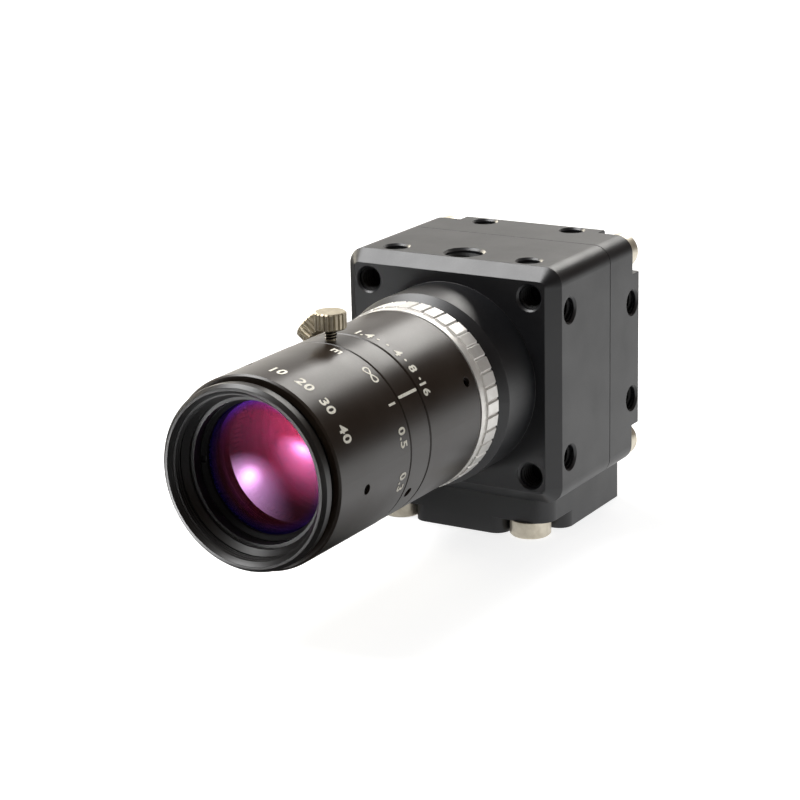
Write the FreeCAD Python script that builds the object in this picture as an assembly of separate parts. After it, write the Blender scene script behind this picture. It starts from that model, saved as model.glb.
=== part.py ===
"""Machine vision camera: square housing, C-mount lens with focus and iris rings, mounting base.

Construction frame: the optical axis is the Y axis, the lens looks along -Y, +Z is up, +X is
to the right for someone facing the lens. The front face of the housing is the plane y = 0.
Each finished piece is moved so that the origin is the mouth of the tripod thread under the
base. All lengths are in millimetres, all angles in degrees. Angles round the optical axis are
counter-clockwise from +X, seen from the front.
"""
import FreeCAD, Part
import math
import os

V = FreeCAD.Vector

# ------------------------------------------------------------------ threads
M3_R = 1.5
M4_R = 2.0
M4_SINK = 0.35              # countersink of a tapped M4 hole, on the radius
TRIPOD_R = 3.175            # quarter-inch camera thread
TRIPOD_SINK = 0.425
MOUNT_THREAD_R = 12.7       # one-inch lens mount thread
THREAD_GAP = 0.05           # between a thread and its hole, on the radius
RUN = 0.05                  # running clearance on the radius
AXIAL_GAP = 0.15            # between neighbouring rings
CLEAR = 0.2                 # screw in a clearance hole, on the radius

# ------------------------------------------------------------------ housing
BODY = 40.0                 # width and height
CASE_DEPTH = 20.0           # front case, front face to parting line
COVER_DEPTH = 11.5          # rear cover
EDGE_R = 3.0                # long edges
FRONT_CHAMFER = 2.1
REAR_CHAMFER = 0.4
WALL = 3.0
CAVITY_R = 1.5
REAR_PLATE = 5.5            # solid back of the cover
PARTING_W = 0.2             # shadow groove where case and cover meet
PARTING_D = 0.35
CORNER_RECESS = 2.9         # screw recesses in the rear corners
COVER_SCREW_INSET = 3.2     # from the side faces
COVER_HEAD_R = 3.0
COVER_HEAD_H = 2.9
COVER_KEY = 2.5
COVER_BITE = 4.9            # thread of the cover screws in the case
HEAD_GAP = 0.4             # round a sunk screw head
POST_WALL = 2.1             # of the posts round the cover screws
FRONT_HOLE_INSET = 4.9      # tapped holes in the front face, from the side faces
FRONT_HOLE_DEPTH = 5.0
HOLE_WEB = 0.3              # metal left between crossing tapped holes
SIDE_FRONT_PITCH = 25.0     # pair of holes near the front of each side face
SIDE_FRONT_Y = 5.0
SIDE_REAR_PITCH = 17.0      # pair of holes near the back of each side face
SIDE_REAR_INSET = 2.9       # from the back
SIDE_REAR_DEPTH = 4.5
TOP_TRIPOD_Y = 5.9
TOP_TRIPOD_DEPTH = 5.5

# ------------------------------------------------------------------ lens boss
BOSS_R = 16.2
BOSS_LENGTH = 11.0          # front face to the lens seat
BOSS_CHAMFER = 2.1          # along the axis
BOSS_CHAMFER_R = 2.0        # on the radius
SEAT_LAND = 0.1             # straight edge of the lens seat
THREAD_DEPTH = 4.6
THREAD_SINK = 0.6
FLANGE_DISTANCE = 17.526    # lens seat to sensor
FILTER_BORE_R = 11.5
FILTER_T = 1.0
FILTER_GAP = 0.3
FILTER_TO_SENSOR = 4.526
FILTER_RING_T = 1.6
FILTER_RING_W = 1.4
SPANNER_W = 1.0             # spanner notches in the filter ring

# ------------------------------------------------------------------ mounting base
BASE_INSET = 3.0            # base edge from the side faces
BASE_FRONT_Y = 2.1
BASE_REAR_INSET = 1.5
BASE_H = 7.0
BASE_FLANGE_T = 4.15        # above the screw pockets
BASE_FRONT_R = 3.5          # upright corners at the front
BASE_REAR_R = 1.0
BASE_MOUTH_R = 2.4          # rounding where a pocket opens
BASE_POCKET_R = 3.4         # inner corner of a pocket
LOW_HEAD_R = 3.5            # low heads of the base screws
LOW_HEAD_KEY = 2.5
ARM_GAP = 0.2               # base arm to screw head
BACK_GAP = 0.7              # pocket wall behind the screw head
REAR_POCKET_GAP = 0.8
BASE_REAR_SCREW_INSET = 6.5  # rear base screws, from the back of the housing
BASE_HOLE_SPARE = 0.2       # hole left under a base screw's tip

# ------------------------------------------------------------------ electronics
DIE_TO_BOARD = 1.474        # sensor plane to the face of its board
BOARD_T = 1.6
BOARD_GAP = 0.6             # board edge to wall
BOARD_RECESS = 2.0          # depth of the sensor board's pocket
STANDOFF_INSET = 5.6        # standoffs from the cover screws, in X and in Z
STANDOFF_AF = 3.6
STANDOFF_EDGE = 1.8         # sensor board beyond the standoffs
FRONT_STANDOFF_H = 4.0
STUD_R = 0.95
STUD_HOLE_R = 1.0
CASE_STUD = 2.6
BITE = 0.45                 # share of a standoff that a screw enters
HOLE_SHARE = 0.62
PACKAGE_HALF = 7.4          # sensor package
DIE_W = 10.0
DIE_H = 8.0
DIE_T = 0.6
PACKAGE_LIP = 0.35
LID_HALF = 6.6
LID_T = 0.7
WINDOW_GAP = 0.6            # opening in the case round the package
SOCKET_SPACE = 3.3          # interface board to the rear plate
CONNECTOR_T = 3.0
CONNECTOR_W = 13.0
CHIP_W = 12.0
CHIP_T = 1.6
MEMORY_W = 5.5
MEMORY_H = 7.0
MEMORY_T = 1.0
MEMORY_GAP = 1.0

# ------------------------------------------------------------------ rear sockets
DATA_Z = 5.0                # data socket, above the optical axis
DATA_HALF_W = 10.4
DATA_HALF_H = 3.0
DATA_WALL = 0.5
DATA_PROUD = 0.6
DATA_TONGUE = 1.6
JACK_OFFSET = 2.4           # jack screws beyond the data socket
JACK_R = 1.5
JACK_AF = 3.9
JACK_HEAD = 1.4
JACK_BORE_R = 1.05
IO_X = -5.0
IO_Z = -7.6
IO_R = 5.0
IO_WALL = 1.2
IO_PROUD = 4.2
IO_FLANGE = 1.1
IO_FLANGE_T = 0.9
PIN_R = 0.35
LIGHT_X = 8.0
LIGHT_Z = -8.2
LIGHT_R = 1.5

# ------------------------------------------------------------------ lens barrel
RING_R = 15.0               # iris and index rings
RING_CHAMFER = 0.2
RING_WALL = 1.75
MOUNT_RING_LENGTH = 5.0
MOUNT_RING_SWELL = 0.35     # grip of the mount ring beyond the barrel
MOUNT_RING_BAND = 1.6       # plain band in front of the grip
MOUNT_RING_FACETS = 40
FACET_GROOVE = 0.28
IRIS_RING_LENGTH = 15.9
INDEX_RING_LENGTH = 5.8
FOCUS_RING_LENGTH = 20.05
FOCUS_SWELL = 0.05
FOCUS_BEVEL = 0.3
FOCUS_WALL = 1.3
RIM_GAP = 1.1               # groove between focus ring and rim
RIM_LENGTH = 1.9
RIM_BEVEL = 0.55
RIM_STEP = 0.7              # rim inside the barrel's radius
RIM_WALL = 1.55             # rim outside the filter thread
GROOVE_WALL = 0.55          # wall behind the groove
FILTER_THREAD_LENGTH = 1.75
MOUTH_LAND = 0.65
NOSE_LENGTH = 8.0           # part of the barrel inside the focus ring
NOSE_WALL = 1.2
COLLAR_GAP = 1.2            # room for the focus travel
REAR_TUBE_WALL = 1.3
REAR_TUBE_LENGTH = 4.0      # mount thread on the lens
BORE_STEP = 0.8
IRIS_BORE_WALL = 1.0

# ------------------------------------------------------------------ glass
FRONT_GLASS_INSET = 7.0     # rim to the edge of the front element
FRONT_GLASS_WALL = 2.6
FRONT_GLASS_T = 2.6
FRONT_GLASS_BULGE = 1.2
FRONT_LOCK_W = 0.75         # ring in front of the first element
FRONT_LOCK_T = 1.1
FRONT_LOCK_CONE = 0.6
FRONT_LOCK_GAP = 0.5        # edge of the glass to the ring
INNER_GLASS_WALL = 2.25
LIP_T = 1.7
LIP_W = 1.0
THIRD_T = 4.7
THIRD_BULGE = 1.1
THIRD_BACK = 0.4
SPACER_T = 2.2
SPACER_W = 0.9
SECOND_T = 4.1
SECOND_HOLLOW = 0.9
SECOND_BULGE = 0.9
REAR_GLASS_WALL = 2.0
REAR_LIP_T = 1.2
REAR_LIP_W = 0.6
REAR_1_T = 4.2
REAR_1_HOLLOW = 0.9
REAR_1_BULGE = 1.0
REAR_2_T = 6.2
REAR_2_BULGE = 1.1
REAR_2_BACK = 1.2
REAR_2_INSET = 6.0          # from the rear end of the rear cell
REAR_LOCK_T = 2.4
REAR_LOCK_W = 0.9
REAR_CELL_PROUD = 6.0       # rear end of the rear cell behind the lens seat

# ------------------------------------------------------------------ lock and set screws
LOCK_HEAD_R = 2.5
LOCK_HEAD_H = 2.7
LOCK_HEAD_GAP = 1.8         # head above the barrel
LOCK_SHANK_R = 0.8
LOCK_FLUTES = 20
LOCK_FLUTE_DEPTH = 0.28
LOCK_EDGE = 0.3
LOCK_TIP_GAP = 0.15
FOCUS_LOCK_BACK = 2.0       # from the front of the index ring
FOCUS_LOCK_ANGLE = 90.0
IRIS_LOCK_FRONT = 2.65      # from the back of the iris ring
IRIS_LOCK_ANGLE = 142.3
SET_SCREW_R = 0.8
SET_SCREW_SUNK = 0.35
FOCUS_SET_BACK = 7.5        # from the front of the focus ring
FOCUS_SET_ANGLE = -9.2
GUIDE_PIN_R = 0.6
GUIDE_PIN_BACK = 4.0        # guide pin in front of the index ring
DRIVE_PIN_AT = 60.0         # iris drive pin, angle at rest

# ------------------------------------------------------------------ diaphragm
BLADES = 6
BLADE_T = 0.10
BLADE_PITCH = 0.22          # from one blade's level to the next
BLADE_EDGE = 4.15           # width of a blade's arc
BLADE_SPAN = 157.0
BLADE_TIP_TAPER = 0.8       # the tip narrows to pass the next blades' pins
TIP_ANGLE = 35.0
BLADE_BACK = 0.65           # blade arc inside the pivots
PIVOT_INSET = 1.2           # pivots from the bore
POST_PIN_R = 0.4
DRIVE_PIN_ANGLE = 14.0
BLADE_PER_RING = 0.59       # blade turn for one degree of ring turn
RING_OPEN = -48.0           # ring turn from rest to fully open
RING_CLOSED = 2.0
BLADE_REST = 28.3           # blade turn from fully open to rest
IRIS_SEAT_BACK = 4.85       # seat of the diaphragm behind the front of the iris ring
IRIS_BASE_T = 0.8
CAM_GAP = 0.58
CAM_T = 0.8
CAM_W = 4.52
SLOT_GAP = 0.12             # round a blade's pin in its cam slot

# ------------------------------------------------------------------ derived sizes
HALF = BODY / 2.0
BACK_Y = CASE_DEPTH + COVER_DEPTH
COVER_SCREW_XZ = HALF - COVER_SCREW_INSET
COVER_SEAT_Y = BACK_Y - CORNER_RECESS
POST_R = M3_R + POST_WALL
FRONT_HOLE_XZ = HALF - FRONT_HOLE_INSET
SIDE_FRONT_DEPTH = FRONT_HOLE_INSET - M4_R - HOLE_WEB
SIDE_REAR_Y = BACK_Y - SIDE_REAR_INSET
SIDE_FRONT_HOLE = SIDE_FRONT_PITCH / 2.0
SIDE_REAR_HOLE = SIDE_REAR_PITCH / 2.0
BASE_HALF = HALF - BASE_INSET
BASE_REAR_Y = BACK_Y - BASE_REAR_INSET
BASE_TRIPOD_Y = (BASE_FRONT_Y + BASE_REAR_Y) / 2.0
BASE_REAR_SCREW_Y = BACK_Y - BASE_REAR_SCREW_INSET

SEAT_Y = -BOSS_LENGTH
SENSOR_Y = SEAT_Y + FLANGE_DISTANCE
FILTER_SEAT_Y = SENSOR_Y - FILTER_TO_SENSOR
SENSOR_BOARD_Y = SENSOR_Y + DIE_TO_BOARD
CAVITY_Y = SENSOR_BOARD_Y + BOARD_RECESS
PROC_Y = SENSOR_BOARD_Y + BOARD_T + FRONT_STANDOFF_H
SOCKET_Y = BACK_Y - REAR_PLATE - SOCKET_SPACE
IFACE_Y = SOCKET_Y - BOARD_T
REAR_STANDOFF_H = IFACE_Y - PROC_Y - BOARD_T
BOARD_HALF = HALF - WALL - BOARD_GAP
STANDOFF_XZ = COVER_SCREW_XZ - STANDOFF_INSET
SENSOR_BOARD_HALF = STANDOFF_XZ + STANDOFF_EDGE
WINDOW_HALF = PACKAGE_HALF + WINDOW_GAP

MOUNT_RING_R = RING_R + MOUNT_RING_SWELL
MOUNT_RING_Y = SEAT_Y - MOUNT_RING_LENGTH
IRIS_REAR_Y = MOUNT_RING_Y - AXIAL_GAP
IRIS_FRONT_Y = IRIS_REAR_Y - IRIS_RING_LENGTH
INDEX_REAR_Y = IRIS_FRONT_Y - AXIAL_GAP
INDEX_FRONT_Y = INDEX_REAR_Y - INDEX_RING_LENGTH
FOCUS_REAR_Y = INDEX_FRONT_Y - AXIAL_GAP
FOCUS_FRONT_Y = FOCUS_REAR_Y - FOCUS_RING_LENGTH
FOCUS_R = RING_R + FOCUS_SWELL
RIM_REAR_Y = FOCUS_FRONT_Y - RIM_GAP
RIM_FRONT_Y = RIM_REAR_Y - RIM_LENGTH
RIM_R = RING_R - RIM_STEP
FILTER_THREAD_R = RIM_R - RIM_WALL
GROOVE_R = FILTER_THREAD_R + GROOVE_WALL
BARREL_R = RING_R - RING_WALL - RUN
NOSE_R = FOCUS_R - FOCUS_WALL - RUN
NOSE_FRONT_Y = INDEX_FRONT_Y - NOSE_LENGTH
CELL_TUBE_R = NOSE_R - NOSE_WALL - RUN
COLLAR_Y = NOSE_FRONT_Y - COLLAR_GAP
REAR_TUBE_R = MOUNT_THREAD_R - REAR_TUBE_WALL
REAR_TUBE_Y = SEAT_Y + REAR_TUBE_LENGTH
REAR_BORE_R = REAR_TUBE_R - BORE_STEP
IRIS_BORE_R = BARREL_R - IRIS_BORE_WALL

IRIS_SEAT_Y = IRIS_FRONT_Y + IRIS_SEAT_BACK
BLADE_Y = IRIS_SEAT_Y - IRIS_BASE_T - BLADE_T
CAM_REAR_Y = BLADE_Y - BLADES * BLADE_PITCH - CAM_GAP
CAM_FRONT_Y = CAM_REAR_Y - CAM_T
CAM_Y = (CAM_REAR_Y + CAM_FRONT_Y) / 2.0
CAM_R = IRIS_BORE_R - 0.08
PIVOT_R = IRIS_BORE_R - PIVOT_INSET
BLADE_OUT_R = PIVOT_R - BLADE_BACK
BLADE_IN_R = BLADE_OUT_R - BLADE_EDGE
APERTURE_R = BLADE_IN_R + 0.15

CELL_REAR_Y = CAM_FRONT_Y - 3.0
FRONT_GLASS_R = NOSE_R - FRONT_GLASS_WALL
INNER_GLASS_R = CELL_TUBE_R - INNER_GLASS_WALL
THIRD_BACK_Y = CELL_REAR_Y - LIP_T
THIRD_FRONT_Y = THIRD_BACK_Y - THIRD_T
SECOND_BACK_Y = THIRD_FRONT_Y - SPACER_T
SECOND_FRONT_Y = SECOND_BACK_Y - SECOND_T
FRONT_GLASS_Y = RIM_FRONT_Y + FRONT_GLASS_INSET
FRONT_GLASS_BACK_Y = FRONT_GLASS_Y + FRONT_GLASS_T
REAR_GLASS_R = REAR_BORE_R - REAR_GLASS_WALL
REAR_CELL_FRONT_Y = IRIS_SEAT_Y + 0.4
REAR_CELL_REAR_Y = SEAT_Y + REAR_CELL_PROUD
REAR_1_FRONT_Y = REAR_CELL_FRONT_Y + REAR_LIP_T
REAR_1_BACK_Y = REAR_1_FRONT_Y + REAR_1_T
REAR_2_BACK_Y = REAR_CELL_REAR_Y - REAR_2_INSET
REAR_2_FRONT_Y = REAR_2_BACK_Y - REAR_2_T

FOCUS_LOCK_Y = INDEX_FRONT_Y + FOCUS_LOCK_BACK
IRIS_LOCK_Y = IRIS_REAR_Y - IRIS_LOCK_FRONT
FOCUS_SET_Y = FOCUS_FRONT_Y + FOCUS_SET_BACK
GUIDE_PIN_Y = INDEX_FRONT_Y - GUIDE_PIN_BACK
LOCK_HEAD_BASE = RING_R + LOCK_HEAD_GAP
LOCK_HEAD_TOP = LOCK_HEAD_BASE + LOCK_HEAD_H
THIRDS = (0.0, 120.0, 240.0)

PARTS = {}


# ------------------------------------------------------------------ helpers
def cyl_y(radius, y0, y1, x=0.0, z=0.0):
    """Cylinder along Y between two planes."""
    lo = min(y0, y1)
    return Part.makeCylinder(radius, abs(y1 - y0), V(x, lo, z), V(0, 1, 0))


def cyl_z(radius, z0, z1, x=0.0, y=0.0):
    lo = min(z0, z1)
    return Part.makeCylinder(radius, abs(z1 - z0), V(x, y, lo), V(0, 0, 1))


def cone_y(r0, r1, y0, y1, x=0.0, z=0.0):
    """Cone along Y with radius r0 at y0 and r1 at y1."""
    if y1 < y0:
        r0, r1, y0, y1 = r1, r0, y1, y0
    return Part.makeCone(r0, r1, y1 - y0, V(x, y0, z), V(0, 1, 0))


def ring_y(r_out, r_in, y0, y1):
    return cyl_y(r_out, y0, y1).cut(cyl_y(r_in, y0 - 1.0 if y0 < y1 else y0 + 1.0,
                                          y1 + 1.0 if y0 < y1 else y1 - 1.0))


def turned(profile):
    """Solid of revolution about the Y axis from a closed list of (radius, y)."""
    points = [V(r, y, 0) for r, y in profile]
    wire = Part.makePolygon(points + [points[0]])
    return Part.Face(wire).revolve(V(0, 0, 0), V(0, 1, 0), 360.0)


def box(x0, x1, y0, y1, z0, z1):
    return Part.makeBox(x1 - x0, y1 - y0, z1 - z0, V(x0, y0, z0))


def radial(shape, y, angle):
    """Place a shape built on +Z so that its axis leaves the optical axis at the given angle."""
    out = shape.copy()
    out.rotate(V(0, 0, 0), V(0, 1, 0), 90.0 - angle)
    out.translate(V(0, y, 0))
    return out


def spun(shape, angle):
    """Turn a shape about the optical axis, counter-clockwise seen from the front."""
    out = shape.copy()
    out.rotate(V(0, 0, 0), V(0, -1, 0), angle)
    return out


def hexagon(across_flats, length, start, direction):
    r = across_flats / math.sqrt(3.0)
    points = [V(r * math.cos(math.radians(60 * i)), r * math.sin(math.radians(60 * i)), 0)
              for i in range(7)]
    solid = Part.Face(Part.makePolygon(points)).extrude(V(0, 0, length))
    turn = FreeCAD.Rotation(V(0, 0, 1), direction)
    solid.Placement = FreeCAD.Placement(start, turn)
    return solid


def cap_screw(head_r, head_h, shank_r, length, key, seat, direction):
    """Socket cap screw; the shank runs from the seat along the direction."""
    d = V(*direction)
    s = V(*seat)
    head = Part.makeCylinder(head_r, head_h, s - d * head_h, d)
    rim = [e for e in head.Edges if len(e.Vertexes) == 1 and (e.Vertexes[0].Point - s).dot(d) < -0.01]
    head = head.makeChamfer(0.3, rim)
    shank = Part.makeCylinder(shank_r, length, s, d)
    socket = hexagon(key, head_h * 0.55, s - d * head_h, d)
    return head.fuse(shank).removeSplitter().cut(socket)


def rounded_square(half, corner_r, y0, y1):
    """Square prism along Y with rounded long edges."""
    solid = box(-half, half, min(y0, y1), max(y0, y1), -half, half)
    edges = [e for e in solid.Edges
             if abs(e.Vertexes[0].Point.y - e.Vertexes[1].Point.y) > 1e-6]
    return solid.makeFillet(corner_r, edges)


def blind_z(radius, mouth_r, x, y, z_face, depth, up):
    """Tapped hole from a face at z_face, going inwards; up is +1 for a top face."""
    hole = cyl_z(radius, z_face, z_face - up * depth, x, y)
    hole = hole.fuse(cyl_z(radius, z_face, z_face + up, x, y))
    sink = Part.makeCone(mouth_r, radius, mouth_r - radius, V(x, y, z_face), V(0, 0, -up))
    return hole.fuse(sink)


def blind_x(radius, mouth_r, y, z, x_face, depth, side):
    hole = Part.makeCylinder(radius, depth + 1.0, V(x_face + side, y, z), V(-side, 0, 0))
    sink = Part.makeCone(mouth_r, radius, mouth_r - radius, V(x_face, y, z), V(-side, 0, 0))
    return hole.fuse(sink)


def lens_curve(rim_r, rim_y, pole_y):
    """Arc from a rim point to the pole of a lens surface, or a line if it is flat."""
    rim = V(rim_r, rim_y, 0)
    pole = V(0, pole_y, 0)
    sag = pole_y - rim_y
    if abs(sag) < 1e-6:
        return Part.makeLine(rim, pole)
    curve = (rim_r * rim_r + sag * sag) / (2.0 * abs(sag))
    half = math.asin(min(1.0, rim_r / curve)) / 2.0
    sign = math.copysign(1.0, sag)
    middle = V(curve * math.sin(half), pole_y - sign * curve * (1.0 - math.cos(half)), 0)
    return Part.Arc(rim, middle, pole).toShape()


def optic(radius, y_front, y_back, bulge_front, bulge_back, clear_front, clear_back):
    """Round glass element with flat seats outside the clear radii; a positive bulge stands out."""
    tip_y = y_front - bulge_front
    end_y = y_back + bulge_back
    edges = [lens_curve(clear_front, y_front, tip_y),
             Part.makeLine(V(0, tip_y, 0), V(0, end_y, 0)),
             lens_curve(clear_back, y_back, end_y),
             Part.makeLine(V(radius, y_back, 0), V(radius, y_front, 0))]
    if radius - clear_front > 1e-6:
        edges.append(Part.makeLine(V(radius, y_front, 0), V(clear_front, y_front, 0)))
    if radius - clear_back > 1e-6:
        edges.append(Part.makeLine(V(clear_back, y_back, 0), V(radius, y_back, 0)))
    wire = Part.Wire(Part.__sortEdges__(edges))
    return Part.Face(wire).revolve(V(0, 0, 0), V(0, 1, 0), 360.0)


def keep(name, shape):
    """Write one node; the shape must be sound."""
    if not shape.isValid():
        shape.fix(1e-4, 1e-4, 1e-3)
    solids = shape.Solids
    out = solids[0].copy() if len(solids) == 1 else Part.makeCompound(solids)
    out.translate(V(0, -BASE_TRIPOD_Y, HALF + BASE_H))
    out.exportStep(f"parts/{name}.step")
    PARTS[name] = out
    print(f"{name:24s} solids {len(solids)} volume {out.Volume:10.2f} valid {out.isValid()}")


# ------------------------------------------------------------------ housing parts
def four(value):
    return [(sx * value, sz * value) for sx in (-1, 1) for sz in (-1, 1)]


def side_hole_tools(y, off, depth, skip_bottom):
    """Tapped holes in pairs on the top, bottom, left and right faces."""
    mouth = M4_R + M4_SINK
    tools = []
    for s in (-1, 1):
        tools.append(blind_z(M4_R, mouth, s * off, y, HALF, depth, 1))
        if not skip_bottom:
            tools.append(blind_z(M4_R, mouth, s * off, y, -HALF, depth, -1))
        tools.append(blind_x(M4_R, mouth, y, s * off, HALF, depth, 1))
        tools.append(blind_x(M4_R, mouth, y, s * off, -HALF, depth, -1))
    return tools


def front_case():
    shell = rounded_square(HALF, EDGE_R, 0.0, CASE_DEPTH)
    rim = [e for e in shell.Edges if all(abs(v.Point.y) < 1e-6 for v in e.Vertexes)]
    shell = shell.makeChamfer(FRONT_CHAMFER, rim)
    boss = turned([(0, 0.5), (BOSS_R, 0.5), (BOSS_R, SEAT_Y + BOSS_CHAMFER),
                   (BOSS_R - BOSS_CHAMFER_R, SEAT_Y + SEAT_LAND),
                   (BOSS_R - BOSS_CHAMFER_R, SEAT_Y), (0, SEAT_Y)])
    solid = shell.fuse(boss)
    cavity = rounded_square(HALF - WALL, CAVITY_R, CAVITY_Y, CASE_DEPTH + 1.0)
    for x, z in four(COVER_SCREW_XZ):
        cavity = cavity.cut(cyl_y(POST_R, CAVITY_Y - 1.0, CASE_DEPTH + 2.0, x, z))
    pocket = rounded_square(SENSOR_BOARD_HALF + 0.3, 1.0, SENSOR_BOARD_Y, CAVITY_Y + 1.0)
    window = rounded_square(WINDOW_HALF, CAVITY_R, FILTER_SEAT_Y - 0.5, SENSOR_BOARD_Y + 1.0)
    mouth = MOUNT_THREAD_R + THREAD_SINK
    step_y = SEAT_Y + THREAD_DEPTH
    bore = turned([(0, SEAT_Y - 1.0), (mouth, SEAT_Y - 1.0), (mouth, SEAT_Y),
                   (MOUNT_THREAD_R, SEAT_Y + THREAD_SINK), (MOUNT_THREAD_R, step_y),
                   (FILTER_BORE_R, step_y), (FILTER_BORE_R, FILTER_SEAT_Y), (0, FILTER_SEAT_Y)])
    tools = [cavity, pocket, window, bore]
    for x, z in four(FRONT_HOLE_XZ):
        tools.append(cyl_y(M4_R, -1.0, FRONT_HOLE_DEPTH, x, z))
        tools.append(cone_y(M4_R + M4_SINK, M4_R, 0.0, M4_SINK, x, z))
    for x, z in four(COVER_SCREW_XZ):
        tools.append(cyl_y(M3_R, CASE_DEPTH - COVER_BITE - 2.1, CASE_DEPTH + 1.0, x, z))
    for x, z in four(STANDOFF_XZ):
        tools.append(cyl_y(STUD_HOLE_R, SENSOR_BOARD_Y - CASE_STUD - 0.9, SENSOR_BOARD_Y + 1.0, x, z))
    tools.append(blind_z(TRIPOD_R, TRIPOD_R + TRIPOD_SINK, 0.0, TOP_TRIPOD_Y, HALF,
                         TOP_TRIPOD_DEPTH, 1))
    tools += side_hole_tools(SIDE_FRONT_Y, SIDE_FRONT_HOLE, SIDE_FRONT_DEPTH, False)
    inside = rounded_square(HALF - PARTING_D, EDGE_R - PARTING_D, CASE_DEPTH - 2.0, CASE_DEPTH + 2.0)
    tools.append(rounded_square(HALF + 1.0, EDGE_R, CASE_DEPTH - PARTING_W, CASE_DEPTH + 1.0).cut(inside))
    for tool in tools:
        solid = solid.cut(tool)
    return solid.removeSplitter()


def corner_recess(x, z):
    """Open corner pocket for a cover screw; x and z are the signs of the corner."""
    cx = x * COVER_SCREW_XZ
    cz = z * COVER_SCREW_XZ
    radius = COVER_HEAD_R + HEAD_GAP
    far = HALF + 2.0
    y_end = BACK_Y + 1.0
    recess = cyl_y(radius, COVER_SEAT_Y, y_end, cx, cz)
    xs = sorted((cx, x * far))
    zs = sorted((cz - z * radius, z * far))
    recess = recess.fuse(box(xs[0], xs[1], COVER_SEAT_Y, y_end, zs[0], zs[1]))
    xs = sorted((cx - x * radius, x * far))
    zs = sorted((cz, z * far))
    return recess.fuse(box(xs[0], xs[1], COVER_SEAT_Y, y_end, zs[0], zs[1]))


def rear_cover():
    y0 = CASE_DEPTH
    solid = rounded_square(HALF, EDGE_R, y0, BACK_Y)
    rim = [e for e in solid.Edges if all(abs(v.Point.y - BACK_Y) < 1e-6 for v in e.Vertexes)]
    solid = solid.makeChamfer(REAR_CHAMFER, rim)
    for x, z in four(1.0):
        solid = solid.cut(corner_recess(x, z))
        solid = solid.cut(cyl_y(M3_R + CLEAR, y0 - 1.0, BACK_Y, x * COVER_SCREW_XZ, z * COVER_SCREW_XZ))
    cavity = rounded_square(HALF - WALL, CAVITY_R, y0 - 1.0, BACK_Y - REAR_PLATE)
    for x, z in four(COVER_SCREW_XZ):
        cavity = cavity.cut(cyl_y(POST_R, y0 - 2.0, BACK_Y, x, z))
    solid = solid.cut(cavity)
    for tool in side_hole_tools(SIDE_REAR_Y, SIDE_REAR_HOLE, SIDE_REAR_DEPTH, True):
        solid = solid.cut(tool)
    for s in (-1, 1):
        solid = solid.cut(blind_z(M4_R, M4_R + 0.1, s * SIDE_REAR_HOLE, BASE_REAR_SCREW_Y,
                                  -HALF, SIDE_FRONT_DEPTH, -1))
        solid = solid.cut(cyl_y(JACK_R, y0, BACK_Y + 1.0, s * (DATA_HALF_W + JACK_OFFSET), DATA_Z))
    solid = solid.cut(box(-DATA_HALF_W, DATA_HALF_W, y0, BACK_Y + 1.0,
                          DATA_Z - DATA_HALF_H, DATA_Z + DATA_HALF_H))
    solid = solid.cut(cyl_y(IO_R, y0, BACK_Y + 1.0, IO_X, IO_Z))
    solid = solid.cut(cyl_y(LIGHT_R, y0, BACK_Y + 1.0, LIGHT_X, LIGHT_Z))
    return solid.removeSplitter()


def cover_screws():
    length = COVER_SEAT_Y - CASE_DEPTH + COVER_BITE
    return Part.makeCompound([cap_screw(COVER_HEAD_R, COVER_HEAD_H, M3_R, length, COVER_KEY,
                                        (x, COVER_SEAT_Y, z), (0, -1, 0))
                              for x, z in four(COVER_SCREW_XZ)])


def upright_edges(solid, y_lo, y_hi):
    """Edges along Z whose place along Y lies between two planes."""
    return [e for e in solid.Edges if len(e.Vertexes) == 2
            and abs(e.Vertexes[0].Point.z - e.Vertexes[1].Point.z) > 1e-6
            and abs(e.Vertexes[0].Point.y - e.Vertexes[1].Point.y) < 1e-6
            and y_lo < e.Vertexes[0].Point.y < y_hi]


def front_pocket(s, z0, z1):
    """Cutter for the scoop round a front base screw, open to the front and to the side."""
    arm = SIDE_FRONT_HOLE - LOW_HEAD_R - ARM_GAP
    back = SIDE_FRONT_Y + LOW_HEAD_R + BACK_GAP
    x0, x1 = sorted((s * arm, s * (BASE_HALF + 2.0)))
    pocket = box(x0, x1, BASE_FRONT_Y - 2.0, back, z0, z1)
    corner = [e for e in upright_edges(pocket, back - 0.01, back + 0.01)
              if abs(e.Vertexes[0].Point.x - s * arm) < 1e-6]
    pocket = pocket.makeFillet(BASE_POCKET_R, corner)
    r = BASE_MOUTH_R
    xs = sorted((s * arm, s * (arm - r)))
    flare = box(xs[0], xs[1], BASE_FRONT_Y - 1.0, BASE_FRONT_Y + r, z0, z1)
    pocket = pocket.fuse(flare.cut(cyl_z(r, z0 - 1.0, z1 + 1.0, s * (arm - r), BASE_FRONT_Y + r)))
    xs = sorted((s * (BASE_HALF + 1.0), s * (BASE_HALF - r)))
    flare = box(xs[0], xs[1], back, back + r, z0, z1)
    return pocket.fuse(flare.cut(cyl_z(r, z0 - 1.0, z1 + 1.0, s * (BASE_HALF - r), back + r)))


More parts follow.
